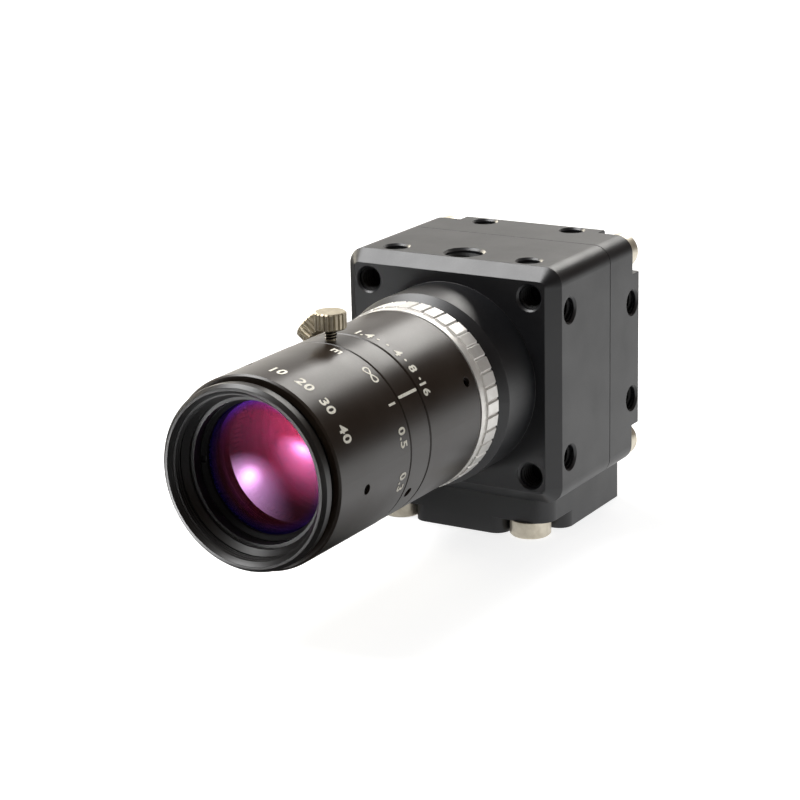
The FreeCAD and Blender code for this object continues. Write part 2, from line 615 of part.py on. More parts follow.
def mounting_base():
    top = -HALF
    low = top - BASE_H
    plate = box(-BASE_HALF, BASE_HALF, BASE_FRONT_Y, BASE_REAR_Y, low, top)
    plate = plate.makeFillet(BASE_FRONT_R, upright_edges(plate, BASE_FRONT_Y - 0.1, BASE_FRONT_Y + 0.1))
    plate = plate.makeFillet(BASE_REAR_R, upright_edges(plate, BASE_REAR_Y - 0.1, BASE_REAR_Y + 0.1))
    z1 = top - BASE_FLANGE_T
    pocket_r = LOW_HEAD_R + REAR_POCKET_GAP
    for s in (-1, 1):
        plate = plate.cut(front_pocket(s, low - 1.0, z1))
        x = s * SIDE_REAR_HOLE
        rear = cyl_z(pocket_r, low - 1.0, z1, x, BASE_REAR_SCREW_Y)
        rear = rear.fuse(box(x - pocket_r, x + pocket_r, BASE_REAR_SCREW_Y, BASE_REAR_Y + 1.0,
                             low - 1.0, z1))
        plate = plate.cut(rear)
        plate = plate.cut(cyl_z(M4_R + CLEAR, low - 1.0, top + 1.0, s * SIDE_FRONT_HOLE, SIDE_FRONT_Y))
        plate = plate.cut(cyl_z(M4_R + CLEAR, low - 1.0, top + 1.0, x, BASE_REAR_SCREW_Y))
    return plate.cut(cyl_z(TRIPOD_R, low - 1.0, top + 1.0, 0.0, BASE_TRIPOD_Y))


def base_screws():
    z = -HALF - BASE_FLANGE_T
    length = BASE_FLANGE_T + SIDE_FRONT_DEPTH - BASE_HOLE_SPARE
    spots = [(s * SIDE_FRONT_HOLE, SIDE_FRONT_Y) for s in (-1, 1)]
    spots += [(s * SIDE_REAR_HOLE, BASE_REAR_SCREW_Y) for s in (-1, 1)]
    return Part.makeCompound([cap_screw(LOW_HEAD_R, BASE_H - BASE_FLANGE_T, M4_R, length,
                                        LOW_HEAD_KEY, (x, y, z), (0, 0, 1)) for x, y in spots])


# ------------------------------------------------------------------ electronics
def plain_board(half, y0, post_xz, clip_r):
    """Circuit board with corners clipped round posts, and four standoff holes."""
    board = box(-half, half, y0, y0 + BOARD_T, -half, half)
    for x, z in four(post_xz):
        board = board.cut(cyl_y(clip_r, y0 - 1.0, y0 + BOARD_T + 1.0, x, z))
    for x, z in four(STANDOFF_XZ):
        board = board.cut(cyl_y(STUD_HOLE_R + 0.1, y0 - 1.0, y0 + BOARD_T + 1.0, x, z))
    return board


def standoffs(y0, height, stud):
    """Hexagonal spacers with a threaded stud at the front and a tapped hole at the back."""
    group = []
    for x, z in four(STANDOFF_XZ):
        body = hexagon(STANDOFF_AF, height, V(x, y0, z), V(0, 1, 0))
        body = body.cut(cyl_y(STUD_HOLE_R, y0 + height * (1.0 - HOLE_SHARE), y0 + height + 1.0, x, z))
        group.append(body.fuse(cyl_y(STUD_R, y0 - stud, y0 + 0.3, x, z)))
    return Part.makeCompound(group)


def image_sensor():
    """Sensor package: an open well with the die on its floor."""
    front = SENSOR_Y - PACKAGE_LIP
    package = box(-PACKAGE_HALF, PACKAGE_HALF, front, SENSOR_BOARD_Y, -PACKAGE_HALF, PACKAGE_HALF)
    well = LID_HALF - 0.6
    package = package.cut(box(-well, well, front - 1.0, SENSOR_Y + DIE_T, -well, well))
    return package.fuse(box(-DIE_W / 2, DIE_W / 2, SENSOR_Y, SENSOR_Y + DIE_T, -DIE_H / 2, DIE_H / 2))


def filter_ring():
    front = FILTER_SEAT_Y - FILTER_T - FILTER_RING_T
    ring = ring_y(FILTER_BORE_R, FILTER_BORE_R - FILTER_RING_W, front, FILTER_SEAT_Y - FILTER_T)
    middle = FILTER_BORE_R - FILTER_RING_W / 2.0
    for s in (-1, 1):
        ring = ring.cut(box(-SPANNER_W / 2, SPANNER_W / 2, front - 1.0, front + FILTER_RING_T / 2,
                            s * middle - FILTER_RING_W, s * middle + FILTER_RING_W))
    return ring


def electronics():
    keep("sensor_board", plain_board(SENSOR_BOARD_HALF, SENSOR_BOARD_Y, SENSOR_BOARD_HALF, 1.0))
    keep("image_sensor", image_sensor())
    lid_y = SENSOR_Y - PACKAGE_LIP
    keep("sensor_glass", box(-LID_HALF, LID_HALF, lid_y - LID_T, lid_y, -LID_HALF, LID_HALF))
    keep("ir_filter", cyl_y(FILTER_BORE_R - FILTER_GAP, FILTER_SEAT_Y - FILTER_T, FILTER_SEAT_Y))
    keep("filter_ring", filter_ring())
    clip = POST_R + 0.5
    keep("processor_board", plain_board(BOARD_HALF, PROC_Y, COVER_SCREW_XZ, clip))
    keep("interface_board", plain_board(BOARD_HALF, IFACE_Y, COVER_SCREW_XZ, clip))
    front_y = SENSOR_BOARD_Y + BOARD_T
    rear_y = PROC_Y + BOARD_T
    keep("front_standoffs", standoffs(front_y, FRONT_STANDOFF_H, BOARD_T + CASE_STUD))
    keep("rear_standoffs", standoffs(rear_y, REAR_STANDOFF_H, BOARD_T + BITE * FRONT_STANDOFF_H))
    length = BOARD_T + BITE * REAR_STANDOFF_H
    screws = [cap_screw(2 * STUD_R - 0.1, 1.2, STUD_R, length, 1.3, (x, SOCKET_Y, z), (0, -1, 0))
              for x, z in four(STANDOFF_XZ)]
    keep("board_screws", Part.makeCompound(screws))
    low = DIE_H / 2 + 2.6
    wide = CONNECTOR_W / 2
    keep("board_connector_front", box(-wide, wide, front_y, PROC_Y, -low - CONNECTOR_T, -low))
    keep("board_connector_rear", box(-wide, wide, rear_y, IFACE_Y, low + 1.8, low + 1.8 + CONNECTOR_T))
    chips = [box(-CHIP_W / 2, CHIP_W / 2, rear_y, rear_y + CHIP_T, 1.0 - CHIP_W / 2, 1.0 + CHIP_W / 2)]
    for x in (-MEMORY_W - MEMORY_GAP / 2, MEMORY_GAP / 2):
        chips.append(box(x, x + MEMORY_W, PROC_Y - MEMORY_T, PROC_Y,
                         MEMORY_GAP * 3, MEMORY_GAP * 3 + MEMORY_H))
    keep("processor_chips", Part.makeCompound(chips))


def data_socket():
    """Metal shell and the insert with its contact tongue."""
    w, h, t = DATA_HALF_W, DATA_HALF_H, DATA_WALL
    floor_y = SOCKET_Y + 1.0
    shell = box(-w, w, SOCKET_Y, BACK_Y + DATA_PROUD, DATA_Z - h, DATA_Z + h)
    shell = shell.cut(box(-w + t, w - t, floor_y, BACK_Y + DATA_PROUD + 1.0,
                          DATA_Z - h + t, DATA_Z + h - t))
    keep("data_socket_shell", shell)
    tongue = box(-w + 2.2, w - 2.2, floor_y, BACK_Y - 0.6,
                 DATA_Z - DATA_TONGUE / 2, DATA_Z + DATA_TONGUE / 2)
    foot = box(-w + t, w - t, floor_y, floor_y + 1.4, DATA_Z - h + t, DATA_Z + h - t)
    keep("data_socket_insert", tongue.fuse(foot))


def jack_screws():
    jacks = []
    for s in (-1, 1):
        x = s * (DATA_HALF_W + JACK_OFFSET)
        head_x = x + s * 0.35
        post = cyl_y(JACK_R, SOCKET_Y, BACK_Y, x, DATA_Z)
        post = post.fuse(hexagon(JACK_AF, JACK_HEAD, V(head_x, BACK_Y, DATA_Z), V(0, 1, 0)))
        jacks.append(post.cut(cyl_y(JACK_BORE_R, BACK_Y - 3.0, BACK_Y + JACK_HEAD + 1.0,
                                    x + s * 0.15, DATA_Z)))
    return Part.makeCompound(jacks)


def io_socket():
    """Round plug socket: threaded shell, insert and pins."""
    bore = IO_R - IO_WALL
    floor_y = SOCKET_Y + 1.5
    sleeve = cyl_y(IO_R, SOCKET_Y, BACK_Y, IO_X, IO_Z)
    sleeve = sleeve.fuse(cyl_y(IO_R - 0.25, BACK_Y, BACK_Y + IO_PROUD, IO_X, IO_Z))
    sleeve = sleeve.fuse(cyl_y(IO_R + IO_FLANGE, BACK_Y, BACK_Y + IO_FLANGE_T, IO_X, IO_Z))
    keep("io_socket_shell", sleeve.cut(cyl_y(bore, floor_y, BACK_Y + IO_PROUD + 1.0, IO_X, IO_Z)))
    face_y = BACK_Y - 0.8
    keep("io_socket_insert", cyl_y(bore, floor_y, face_y, IO_X, IO_Z))
    pins = []
    for count, share, turn in ((8, 0.71, 0.0), (4, 0.32, 45.0)):
        for i in range(count):
            a = math.radians(turn + 360.0 * i / count)
            pins.append(cyl_y(PIN_R, face_y, BACK_Y + IO_PROUD - 1.6,
                              IO_X + share * bore * math.cos(a), IO_Z + share * bore * math.sin(a)))
    keep("io_pins", Part.makeCompound(pins))


def sockets():
    data_socket()
    keep("jack_screws", jack_screws())
    io_socket()
    keep("status_light", cyl_y(LIGHT_R, SOCKET_Y, BACK_Y + 0.3, LIGHT_X, LIGHT_Z))


# ------------------------------------------------------------------ lens, fixed parts
def lens_mount_ring():
    """Threaded ring that seats on the boss, with a faceted grip and a plain front band."""
    thread_r = MOUNT_THREAD_R - THREAD_GAP
    band_r = RING_R + 0.05
    grip_y = MOUNT_RING_Y + MOUNT_RING_BAND
    solid = turned([(REAR_TUBE_R, REAR_TUBE_Y), (thread_r - 0.3, REAR_TUBE_Y),
                    (thread_r, REAR_TUBE_Y - 0.3), (thread_r, SEAT_Y),
                    (MOUNT_RING_R + 1.0, SEAT_Y), (MOUNT_RING_R + 1.0, grip_y),
                    (band_r, grip_y), (band_r, MOUNT_RING_Y), (REAR_TUBE_R, MOUNT_RING_Y)])
    points = []
    step = 360.0 / MOUNT_RING_FACETS
    for i in range(MOUNT_RING_FACETS):
        for offset, radius in ((-0.5, MOUNT_RING_R - FACET_GROOVE), (-0.38, MOUNT_RING_R),
                               (0.38, MOUNT_RING_R)):
            a = math.radians((i + offset) * step)
            points.append(V(radius * math.cos(a), SEAT_Y + 1.0, radius * math.sin(a)))
    face = Part.Face(Part.makePolygon(points + [points[0]]))
    grip = face.extrude(V(0, grip_y - SEAT_Y - 1.2, 0))
    core = cyl_y(band_r, MOUNT_RING_Y - 1.0, REAR_TUBE_Y + 1.0)
    return solid.common(grip.fuse(core)).removeSplitter()


def main_barrel():
    """Inner tube of the lens, with the arc slot of the iris pin and the hole of the guide pin."""
    guide_r = CELL_TUBE_R + RUN
    solid = turned([(REAR_TUBE_R, REAR_TUBE_Y), (REAR_TUBE_R, MOUNT_RING_Y),
                    (BARREL_R, MOUNT_RING_Y), (BARREL_R, INDEX_FRONT_Y),
                    (NOSE_R, INDEX_FRONT_Y), (NOSE_R, NOSE_FRONT_Y),
                    (guide_r, NOSE_FRONT_Y), (guide_r, CELL_REAR_Y + BORE_STEP),
                    (IRIS_BORE_R, CELL_REAR_Y + BORE_STEP), (IRIS_BORE_R, IRIS_SEAT_Y),
                    (REAR_BORE_R, IRIS_SEAT_Y), (REAR_BORE_R, REAR_TUBE_Y)])
    for i in range(15):
        turn = RING_OPEN - 3.0 + (RING_CLOSED - RING_OPEN + 6.0) * i / 14.0
        pin = cyl_z(GUIDE_PIN_R + 0.25, IRIS_BORE_R - 1.0, BARREL_R + 1.0)
        solid = solid.cut(radial(pin, CAM_Y, DRIVE_PIN_AT + turn))
    hole = cyl_z(GUIDE_PIN_R + 0.2, CELL_TUBE_R - 1.0, NOSE_R + 1.0)
    return solid.cut(radial(hole, GUIDE_PIN_Y, 270.0))


def plain_ring(inner, y_rear, y_front):
    """Barrel ring with small chamfers at both ends."""
    c = RING_CHAMFER
    return turned([(inner, y_rear), (RING_R - c, y_rear), (RING_R, y_rear - c),
                   (RING_R, y_front + c), (RING_R - c, y_front), (inner, y_front)])


def index_ring():
    solid = plain_ring(BARREL_R, INDEX_REAR_Y, INDEX_FRONT_Y)
    for turn in THIRDS:
        hole = cyl_z(LOCK_SHANK_R + RUN, BARREL_R - 1.0, RING_R + 2.0)
        solid = solid.cut(radial(hole, FOCUS_LOCK_Y, FOCUS_LOCK_ANGLE + turn))
    return solid


def cell_guide_pin():
    """Headed pin that keeps the front cell from turning."""
    shank = cyl_z(GUIDE_PIN_R, CELL_TUBE_R - 0.6, NOSE_R - 0.15)
    head = cyl_z(GUIDE_PIN_R + 0.2, CELL_TUBE_R + 0.2, NOSE_R - 0.15)
    return radial(shank.fuse(head), GUIDE_PIN_Y, 270.0)


def iris_base():
    disc = ring_y(IRIS_BORE_R, APERTURE_R, IRIS_SEAT_Y, IRIS_SEAT_Y - IRIS_BASE_T)
    for i in range(BLADES):
        a = math.radians(360.0 * i / BLADES)
        disc = disc.fuse(cyl_y(POST_PIN_R, IRIS_SEAT_Y - IRIS_BASE_T / 2, CAM_REAR_Y + 0.25,
                               PIVOT_R * math.cos(a), PIVOT_R * math.sin(a)))
    return disc


def rear_group():
    """Rear cell with two elements between its lip and a retaining ring."""
    lip_r = REAR_GLASS_R - REAR_LIP_W
    lock_r = REAR_GLASS_R - REAR_LOCK_W
    spacer_r = REAR_GLASS_R - 0.7
    keep("rear_cell", turned([(lip_r, REAR_CELL_FRONT_Y), (REAR_BORE_R, REAR_CELL_FRONT_Y),
                              (REAR_BORE_R, REAR_CELL_REAR_Y), (REAR_GLASS_R, REAR_CELL_REAR_Y),
                              (REAR_GLASS_R, REAR_1_FRONT_Y), (lip_r, REAR_1_FRONT_Y)]))
    keep("rear_element_1", optic(REAR_GLASS_R, REAR_1_FRONT_Y, REAR_1_BACK_Y,
                                 -REAR_1_HOLLOW, REAR_1_BULGE, lip_r, spacer_r))
    keep("rear_spacer", ring_y(REAR_GLASS_R, spacer_r, REAR_1_BACK_Y, REAR_2_FRONT_Y))
    keep("rear_element_2", optic(REAR_GLASS_R, REAR_2_FRONT_Y, REAR_2_BACK_Y,
                                 REAR_2_BULGE, REAR_2_BACK, spacer_r, lock_r))
    keep("rear_retaining_ring", ring_y(REAR_GLASS_R, lock_r, REAR_2_BACK_Y, REAR_2_BACK_Y + REAR_LOCK_T))


# ------------------------------------------------------------------ lens, moving parts
def focus_ring():
    inner = NOSE_R + RUN
    c = RING_CHAMFER
    solid = turned([(inner, FOCUS_REAR_Y), (FOCUS_R - c, FOCUS_REAR_Y), (FOCUS_R, FOCUS_REAR_Y - c),
                    (FOCUS_R, FOCUS_FRONT_Y + FOCUS_BEVEL), (FOCUS_R - FOCUS_BEVEL, FOCUS_FRONT_Y),
                    (inner, FOCUS_FRONT_Y)])
    for turn in THIRDS:
        hole = cyl_z(SET_SCREW_R, NOSE_R - 1.0, FOCUS_R + 2.0)
        solid = solid.cut(radial(hole, FOCUS_SET_Y, FOCUS_SET_ANGLE + turn))
    return solid


def set_screws(y, angles, r_in, r_out):
    """Sunk hexagon socket set screws round the barrel."""
    group = []
    for angle in angles:
        body = cyl_z(SET_SCREW_R, r_in, r_out)
        body = body.cut(hexagon(1.1 * SET_SCREW_R, 1.0, V(0, 0, r_out - 0.7), V(0, 0, 1)))
        group.append(radial(body, y, angle))
    return Part.makeCompound(group)


def front_cell():
    """Moving cell: guide tube, collar behind the focus ring's bore, groove, rim, filter thread."""
    lip_r = INNER_GLASS_R - LIP_W
    thread_end = RIM_FRONT_Y + MOUTH_LAND + FILTER_THREAD_LENGTH
    cone_r = FRONT_GLASS_R + 0.55
    solid = turned([(lip_r, CELL_REAR_Y), (CELL_TUBE_R, CELL_REAR_Y), (CELL_TUBE_R, COLLAR_Y),
                    (NOSE_R, COLLAR_Y), (NOSE_R, FOCUS_FRONT_Y + 0.6), (GROOVE_R, FOCUS_FRONT_Y + 0.6),
                    (GROOVE_R, RIM_REAR_Y), (RIM_R - 0.1, RIM_REAR_Y), (RIM_R, RIM_REAR_Y - 0.1),
                    (RIM_R, RIM_FRONT_Y + RIM_BEVEL), (RIM_R - RIM_BEVEL, RIM_FRONT_Y),
                    (FILTER_THREAD_R + 0.6, RIM_FRONT_Y), (FILTER_THREAD_R + 0.25, RIM_FRONT_Y + 0.4),
                    (FILTER_THREAD_R, RIM_FRONT_Y + MOUTH_LAND), (FILTER_THREAD_R, thread_end),
                    (FILTER_THREAD_R - 0.25, thread_end), (cone_r, thread_end + 0.8),
                    (cone_r, thread_end + 1.3), (FRONT_GLASS_R, thread_end + 1.3),
                    (FRONT_GLASS_R, SECOND_FRONT_Y), (INNER_GLASS_R, SECOND_FRONT_Y),
                    (INNER_GLASS_R, THIRD_BACK_Y), (lip_r, THIRD_BACK_Y)])
    half = GUIDE_PIN_R + 0.15
    slot = box(-half, half, COLLAR_Y + 0.8, CELL_REAR_Y + 1.0, -CELL_TUBE_R - 0.5, -CELL_TUBE_R + 0.7)
    return solid.cut(slot)


def front_retaining_ring():
    """Conical ring in front of the first element, with two spanner notches."""
    window_r = FRONT_GLASS_R - FRONT_LOCK_W
    rear_y = FRONT_GLASS_Y - FRONT_LOCK_GAP
    front_y = rear_y - FRONT_LOCK_T
    ring = turned([(FRONT_GLASS_R, front_y), (window_r + FRONT_LOCK_CONE, front_y),
                   (window_r, front_y + FRONT_LOCK_CONE), (window_r, rear_y), (FRONT_GLASS_R, rear_y)])
    half = SPANNER_W / 2
    for s in (-1, 1):
        ring = ring.cut(box(s * FRONT_GLASS_R - 1.0, s * FRONT_GLASS_R + 1.0,
                            front_y - 1.0, front_y + FRONT_LOCK_T / 2, -half, half))
    return ring


def front_group():
    keep("front_cell", front_cell())
    keep("front_retaining_ring", front_retaining_ring())
    spacer_r = INNER_GLASS_R - SPACER_W
    seat_r = INNER_GLASS_R - 0.7
    keep("front_element", optic(FRONT_GLASS_R, FRONT_GLASS_Y, FRONT_GLASS_BACK_Y,
                                FRONT_GLASS_BULGE, 0.0, FRONT_GLASS_R, FRONT_GLASS_R))
    keep("cell_spacer", turned([(FRONT_GLASS_R, FRONT_GLASS_BACK_Y), (seat_r + 0.4, FRONT_GLASS_BACK_Y),
                                (seat_r, SECOND_FRONT_Y), (FRONT_GLASS_R, SECOND_FRONT_Y)]))
    keep("second_element", optic(INNER_GLASS_R, SECOND_FRONT_Y, SECOND_BACK_Y,
                                 -SECOND_HOLLOW, SECOND_BULGE, seat_r, spacer_r))
    keep("inner_spacer", ring_y(INNER_GLASS_R, spacer_r, SECOND_BACK_Y, THIRD_FRONT_Y))
    keep("third_element", optic(INNER_GLASS_R, THIRD_FRONT_Y, THIRD_BACK_Y,
                                THIRD_BULGE, THIRD_BACK, spacer_r, INNER_GLASS_R - LIP_W))


def iris_ring():
    solid = plain_ring(BARREL_R + RUN, IRIS_REAR_Y, IRIS_FRONT_Y)
    solid = solid.cut(radial(cyl_z(GUIDE_PIN_R, BARREL_R - 1.0, RING_R - 0.6), CAM_Y, DRIVE_PIN_AT))
    lock = cyl_z(LOCK_SHANK_R + RUN, BARREL_R - 1.0, RING_R + 2.0)
    solid = solid.cut(radial(lock, IRIS_LOCK_Y, IRIS_LOCK_ANGLE))
    for turn in THIRDS[1:]:
        hole = cyl_z(SET_SCREW_R, BARREL_R - 1.0, RING_R + 2.0)
        solid = solid.cut(radial(hole, IRIS_LOCK_Y, IRIS_LOCK_ANGLE + turn))
    return solid


def iris_drive_pin():
    """Stepped pin from the iris ring through the barrel's slot into the cam ring."""
    pin = cyl_z(GUIDE_PIN_R, IRIS_BORE_R + 0.1, RING_R - 0.6)
    return radial(pin.fuse(cyl_z(GUIDE_PIN_R / 2, CAM_R - 0.47, IRIS_BORE_R + 0.5)), CAM_Y, DRIVE_PIN_AT)


def drive_pin_path(turn_ring):
    """Blade drive pin in the frame of the cam ring, for a ring turn from rest."""
    blade_turn = BLADE_REST + BLADE_PER_RING * turn_ring
    a = math.radians(DRIVE_PIN_ANGLE)
    dx = PIVOT_R * math.cos(a) - PIVOT_R
    dz = PIVOT_R * math.sin(a)
    b = math.radians(blade_turn)
    px = PIVOT_R + dx * math.cos(b) - dz * math.sin(b)
    pz = dx * math.sin(b) + dz * math.cos(b)
    c = math.radians(-turn_ring)
    return px * math.cos(c) - pz * math.sin(c), px * math.sin(c) + pz * math.cos(c)


def cam_ring():
    """Ring whose slots drive the blades; each slot follows from the two turning rates."""
    solid = ring_y(CAM_R, CAM_R - CAM_W, CAM_REAR_Y, CAM_FRONT_Y)
    steps = 18
    for k in range(BLADES):
        for i in range(steps + 1):
            x, z = drive_pin_path(RING_OPEN - 1.0 + (RING_CLOSED - RING_OPEN + 2.0) * i / steps)
            cutter = cyl_y(POST_PIN_R + SLOT_GAP, CAM_FRONT_Y - 1.0, CAM_REAR_Y + 1.0, x, z)
            solid = solid.cut(spun(cutter, 360.0 * k / BLADES))
    hole = cyl_z(GUIDE_PIN_R / 2, CAM_R - 0.57, CAM_R + 1.0)
    return solid.cut(radial(hole, CAM_Y, DRIVE_PIN_AT))


def blade(k):
    """One diaphragm blade at rest, on its own level."""
    outline = []
    for i in range(17):
        outline.append((BLADE_IN_R, 8.0 + (BLADE_SPAN - 8.0) * i / 16.0))
    outline.append(((BLADE_IN_R + BLADE_OUT_R - BLADE_TIP_TAPER) / 2.0, BLADE_SPAN + 5.0))
    for i in range(15):
        angle = BLADE_SPAN - (BLADE_SPAN - 22.0) * i / 14.0
        taper = max(0.0, 1.0 - (BLADE_SPAN - angle) / TIP_ANGLE)
        outline.append((BLADE_OUT_R - BLADE_TIP_TAPER * taper, angle))
    for out, angle in ((0.3, 18.0), (0.6, 14.0), (0.65, 9.0), (0.65, 4.0), (0.6, 0.0), (0.3, -3.2),
                       (-0.4, -3.6)):
        outline.append((PIVOT_R + out, angle))
    points = [V(r * math.cos(math.radians(a)), 0, r * math.sin(math.radians(a))) for r, a in outline]
    y_rear = BLADE_Y - BLADE_PITCH * k
    flat = Part.Face(Part.makePolygon(points + [points[0]])).extrude(V(0, -BLADE_T, 0))
    flat.translate(V(0, y_rear, 0))
    flat = flat.cut(cyl_y(POST_PIN_R + RUN, y_rear - 1.0, y_rear + 1.0, PIVOT_R, 0.0))
    a = math.radians(DRIVE_PIN_ANGLE)
    pin = cyl_y(POST_PIN_R, y_rear - BLADE_T / 2.0, CAM_FRONT_Y + 0.2,
                PIVOT_R * math.cos(a), PIVOT_R * math.sin(a))
    solid = flat.fuse(pin)
    solid.rotate(V(PIVOT_R, 0, 0), V(0, -1, 0), BLADE_REST)
    return spun(solid, 360.0 * k / BLADES)


def lock_screw(y, angle):
    """Knurled thumbscrew on a threaded shank, its axis leaving the optical axis."""
    points = []
    for i in range(LOCK_FLUTES):
        for offset, radius in ((-0.25, LOCK_HEAD_R), (0.25, LOCK_HEAD_R),
                               (0.5, LOCK_HEAD_R - LOCK_FLUTE_DEPTH)):
            a = math.radians((i + offset) * 360.0 / LOCK_FLUTES)
            points.append(V(radius * math.cos(a), radius * math.sin(a), LOCK_HEAD_BASE))
    head = Part.Face(Part.makePolygon(points + [points[0]])).extrude(V(0, 0, LOCK_HEAD_H))
    edge_r = LOCK_HEAD_R - LOCK_EDGE + 0.05
    full_r = LOCK_HEAD_R + 0.05
    limit = turned([(0, 0), (edge_r, 0), (full_r, LOCK_EDGE), (full_r, LOCK_HEAD_H - LOCK_EDGE),
                    (edge_r, LOCK_HEAD_H), (0, LOCK_HEAD_H)])
    limit.rotate(V(0, 0, 0), V(1, 0, 0), 90.0)
    limit.translate(V(0, 0, LOCK_HEAD_BASE))
    shank = cyl_z(LOCK_SHANK_R, BARREL_R + LOCK_TIP_GAP, LOCK_HEAD_BASE + 0.5)
    return radial(head.common(limit).fuse(shank), y, angle)


def lens_fixed():
    keep("lens_mount_ring", lens_mount_ring())
    keep("main_barrel", main_barrel())
    keep("index_ring", index_ring())
    keep("cell_guide_pin", cell_guide_pin())
    keep("iris_base", iris_base())
    rear_group()


def lens_moving():
    keep("focus_ring", focus_ring())
    angles = [FOCUS_SET_ANGLE + t for t in THIRDS]
    keep("focus_set_screws", set_screws(FOCUS_SET_Y, angles, NOSE_R + RUN + 0.1, FOCUS_R - SET_SCREW_SUNK))
    front_group()
    keep("iris_ring", iris_ring())
    angles = [IRIS_LOCK_ANGLE + t for t in THIRDS[1:]]
    keep("iris_set_screws", set_screws(IRIS_LOCK_Y, angles, BARREL_R + RUN + 0.1, RING_R - SET_SCREW_SUNK))
    keep("cam_ring", cam_ring())
    keep("iris_drive_pin", iris_drive_pin())
    for k in range(BLADES):
        keep(f"iris_blade_{k + 1}", blade(k))
    keep("focus_lock_screw", lock_screw(FOCUS_LOCK_Y, FOCUS_LOCK_ANGLE))
    keep("iris_lock_screw", lock_screw(IRIS_LOCK_Y, IRIS_LOCK_ANGLE))


def main():
    os.makedirs("parts", exist_ok=True)
    keep("front_case", front_case())
    keep("rear_cover", rear_cover())
    keep("cover_screws", cover_screws())
    keep("mounting_base", mounting_base())
    keep("base_screws", base_screws())
    electronics()
    sockets()
    lens_fixed()
    lens_moving()
    print(len(PARTS), "nodes")


main()
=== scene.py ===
"""Looks of a small cube-shaped inspection camera with a manual lens, on its mounting base.

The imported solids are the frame. This file dresses them, adds the threads, scale marks and glass
coatings that the solids leave out, and sets up the studio and the view. Lengths in the fields are
in millimetres and angles in degrees; meshes are in metres. Angles round the lens axis are
counter-clockwise from +X, seen from in front of the lens.
"""

import logging
from dataclasses import dataclass, field
from enum import Enum

import bmesh
import bpy
import numpy as np
from mathutils import Matrix, Vector


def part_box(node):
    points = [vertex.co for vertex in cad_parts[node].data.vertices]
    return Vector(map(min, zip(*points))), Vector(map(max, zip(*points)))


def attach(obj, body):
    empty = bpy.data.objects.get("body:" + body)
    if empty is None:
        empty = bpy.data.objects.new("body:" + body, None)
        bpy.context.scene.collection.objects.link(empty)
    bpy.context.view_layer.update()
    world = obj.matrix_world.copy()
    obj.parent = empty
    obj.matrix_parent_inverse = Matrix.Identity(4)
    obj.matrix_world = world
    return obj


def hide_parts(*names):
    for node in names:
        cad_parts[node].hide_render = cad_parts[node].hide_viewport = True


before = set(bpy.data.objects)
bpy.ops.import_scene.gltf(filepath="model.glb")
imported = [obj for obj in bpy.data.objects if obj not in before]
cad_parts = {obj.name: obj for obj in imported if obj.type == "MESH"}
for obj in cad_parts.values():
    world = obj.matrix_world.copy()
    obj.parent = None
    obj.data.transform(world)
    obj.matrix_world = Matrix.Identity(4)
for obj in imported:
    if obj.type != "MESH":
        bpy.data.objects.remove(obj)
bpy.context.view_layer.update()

LOG = logging.getLogger("inspection_camera")
MM = 0.001
PAINT_HALF = 0.012  # half the thickness of the marking paint, in mm
NOISE_RANGE = (0.3, 0.7)  # nearly all values of a noise lie between these
VALUE = "NodeSocketFloat"
VECTOR = "NodeSocketVector"
Colour = tuple[int, int, int]
Shade = tuple[float, float, float, float]
Socket = bpy.types.NodeSocket


# ---------------------------------------------------------------- where things are
@dataclass(frozen=True)
class Datum:
    """The lens axis and the front face of the housing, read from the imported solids."""

    boss_length: float = 11.0

    @property
    def axis_z(self) -> float:
        """Height of the lens axis above the foot of the base, in mm."""
        low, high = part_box("lens_mount_ring")
        return (low.z + high.z) / 2 / MM

    @property
    def front_y(self) -> float:
        """Place of the front face along Y, in mm."""
        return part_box("front_case")[0].y / MM + self.boss_length

    def point(self, x: float, y: float, z: float) -> np.ndarray:
        """A point given from the lens axis and the front face, in mm, as metres in the row frame."""
        return np.array([x, y + self.front_y, z + self.axis_z]) * MM


DATUM = Datum()


class Side(Enum):
    """The faces of the housing that carry tapped holes, with the direction into the metal."""

    FRONT = (0, 1, 0)
    RIGHT = (-1, 0, 0)
    LEFT = (1, 0, 0)
    TOP = (0, 0, -1)
    FOOT = (0, 0, 1)


# ---------------------------------------------------------------- mesh making
def grid_faces(rows: int, columns: int, wrap_columns: bool) -> np.ndarray:
    """Four-sided faces of a grid of points, row by row.

    Args:
        rows: number of points along the first parameter.
        columns: number of points along the second parameter.
        wrap_columns: whether the last column joins the first one.

    Returns:
        An array of faces, each four point numbers.
    """
    across = columns if wrap_columns else columns - 1
    i, j = np.meshgrid(np.arange(rows - 1), np.arange(across), indexing="ij")
    k = (j + 1) % columns
    faces = np.stack([i * columns + j, i * columns + k, (i + 1) * columns + k, (i + 1) * columns + j], -1)
    return faces.reshape(-1, 4)


def place_piece(
    mesh: bpy.types.Mesh, finish: bpy.types.Material, body: str
) -> bpy.types.Object:
    """Puts a finished mesh into the scene as a piece that rides on a body.

    Args:
        mesh: the mesh; the piece takes its name.
        finish: the material.
        body: the body that the piece moves with.

    Returns:
        The new object.
    """
    mesh.materials.append(finish)
    piece = bpy.data.objects.new(mesh.name, mesh)
    bpy.context.scene.collection.objects.link(piece)
    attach(piece, body)
    return piece


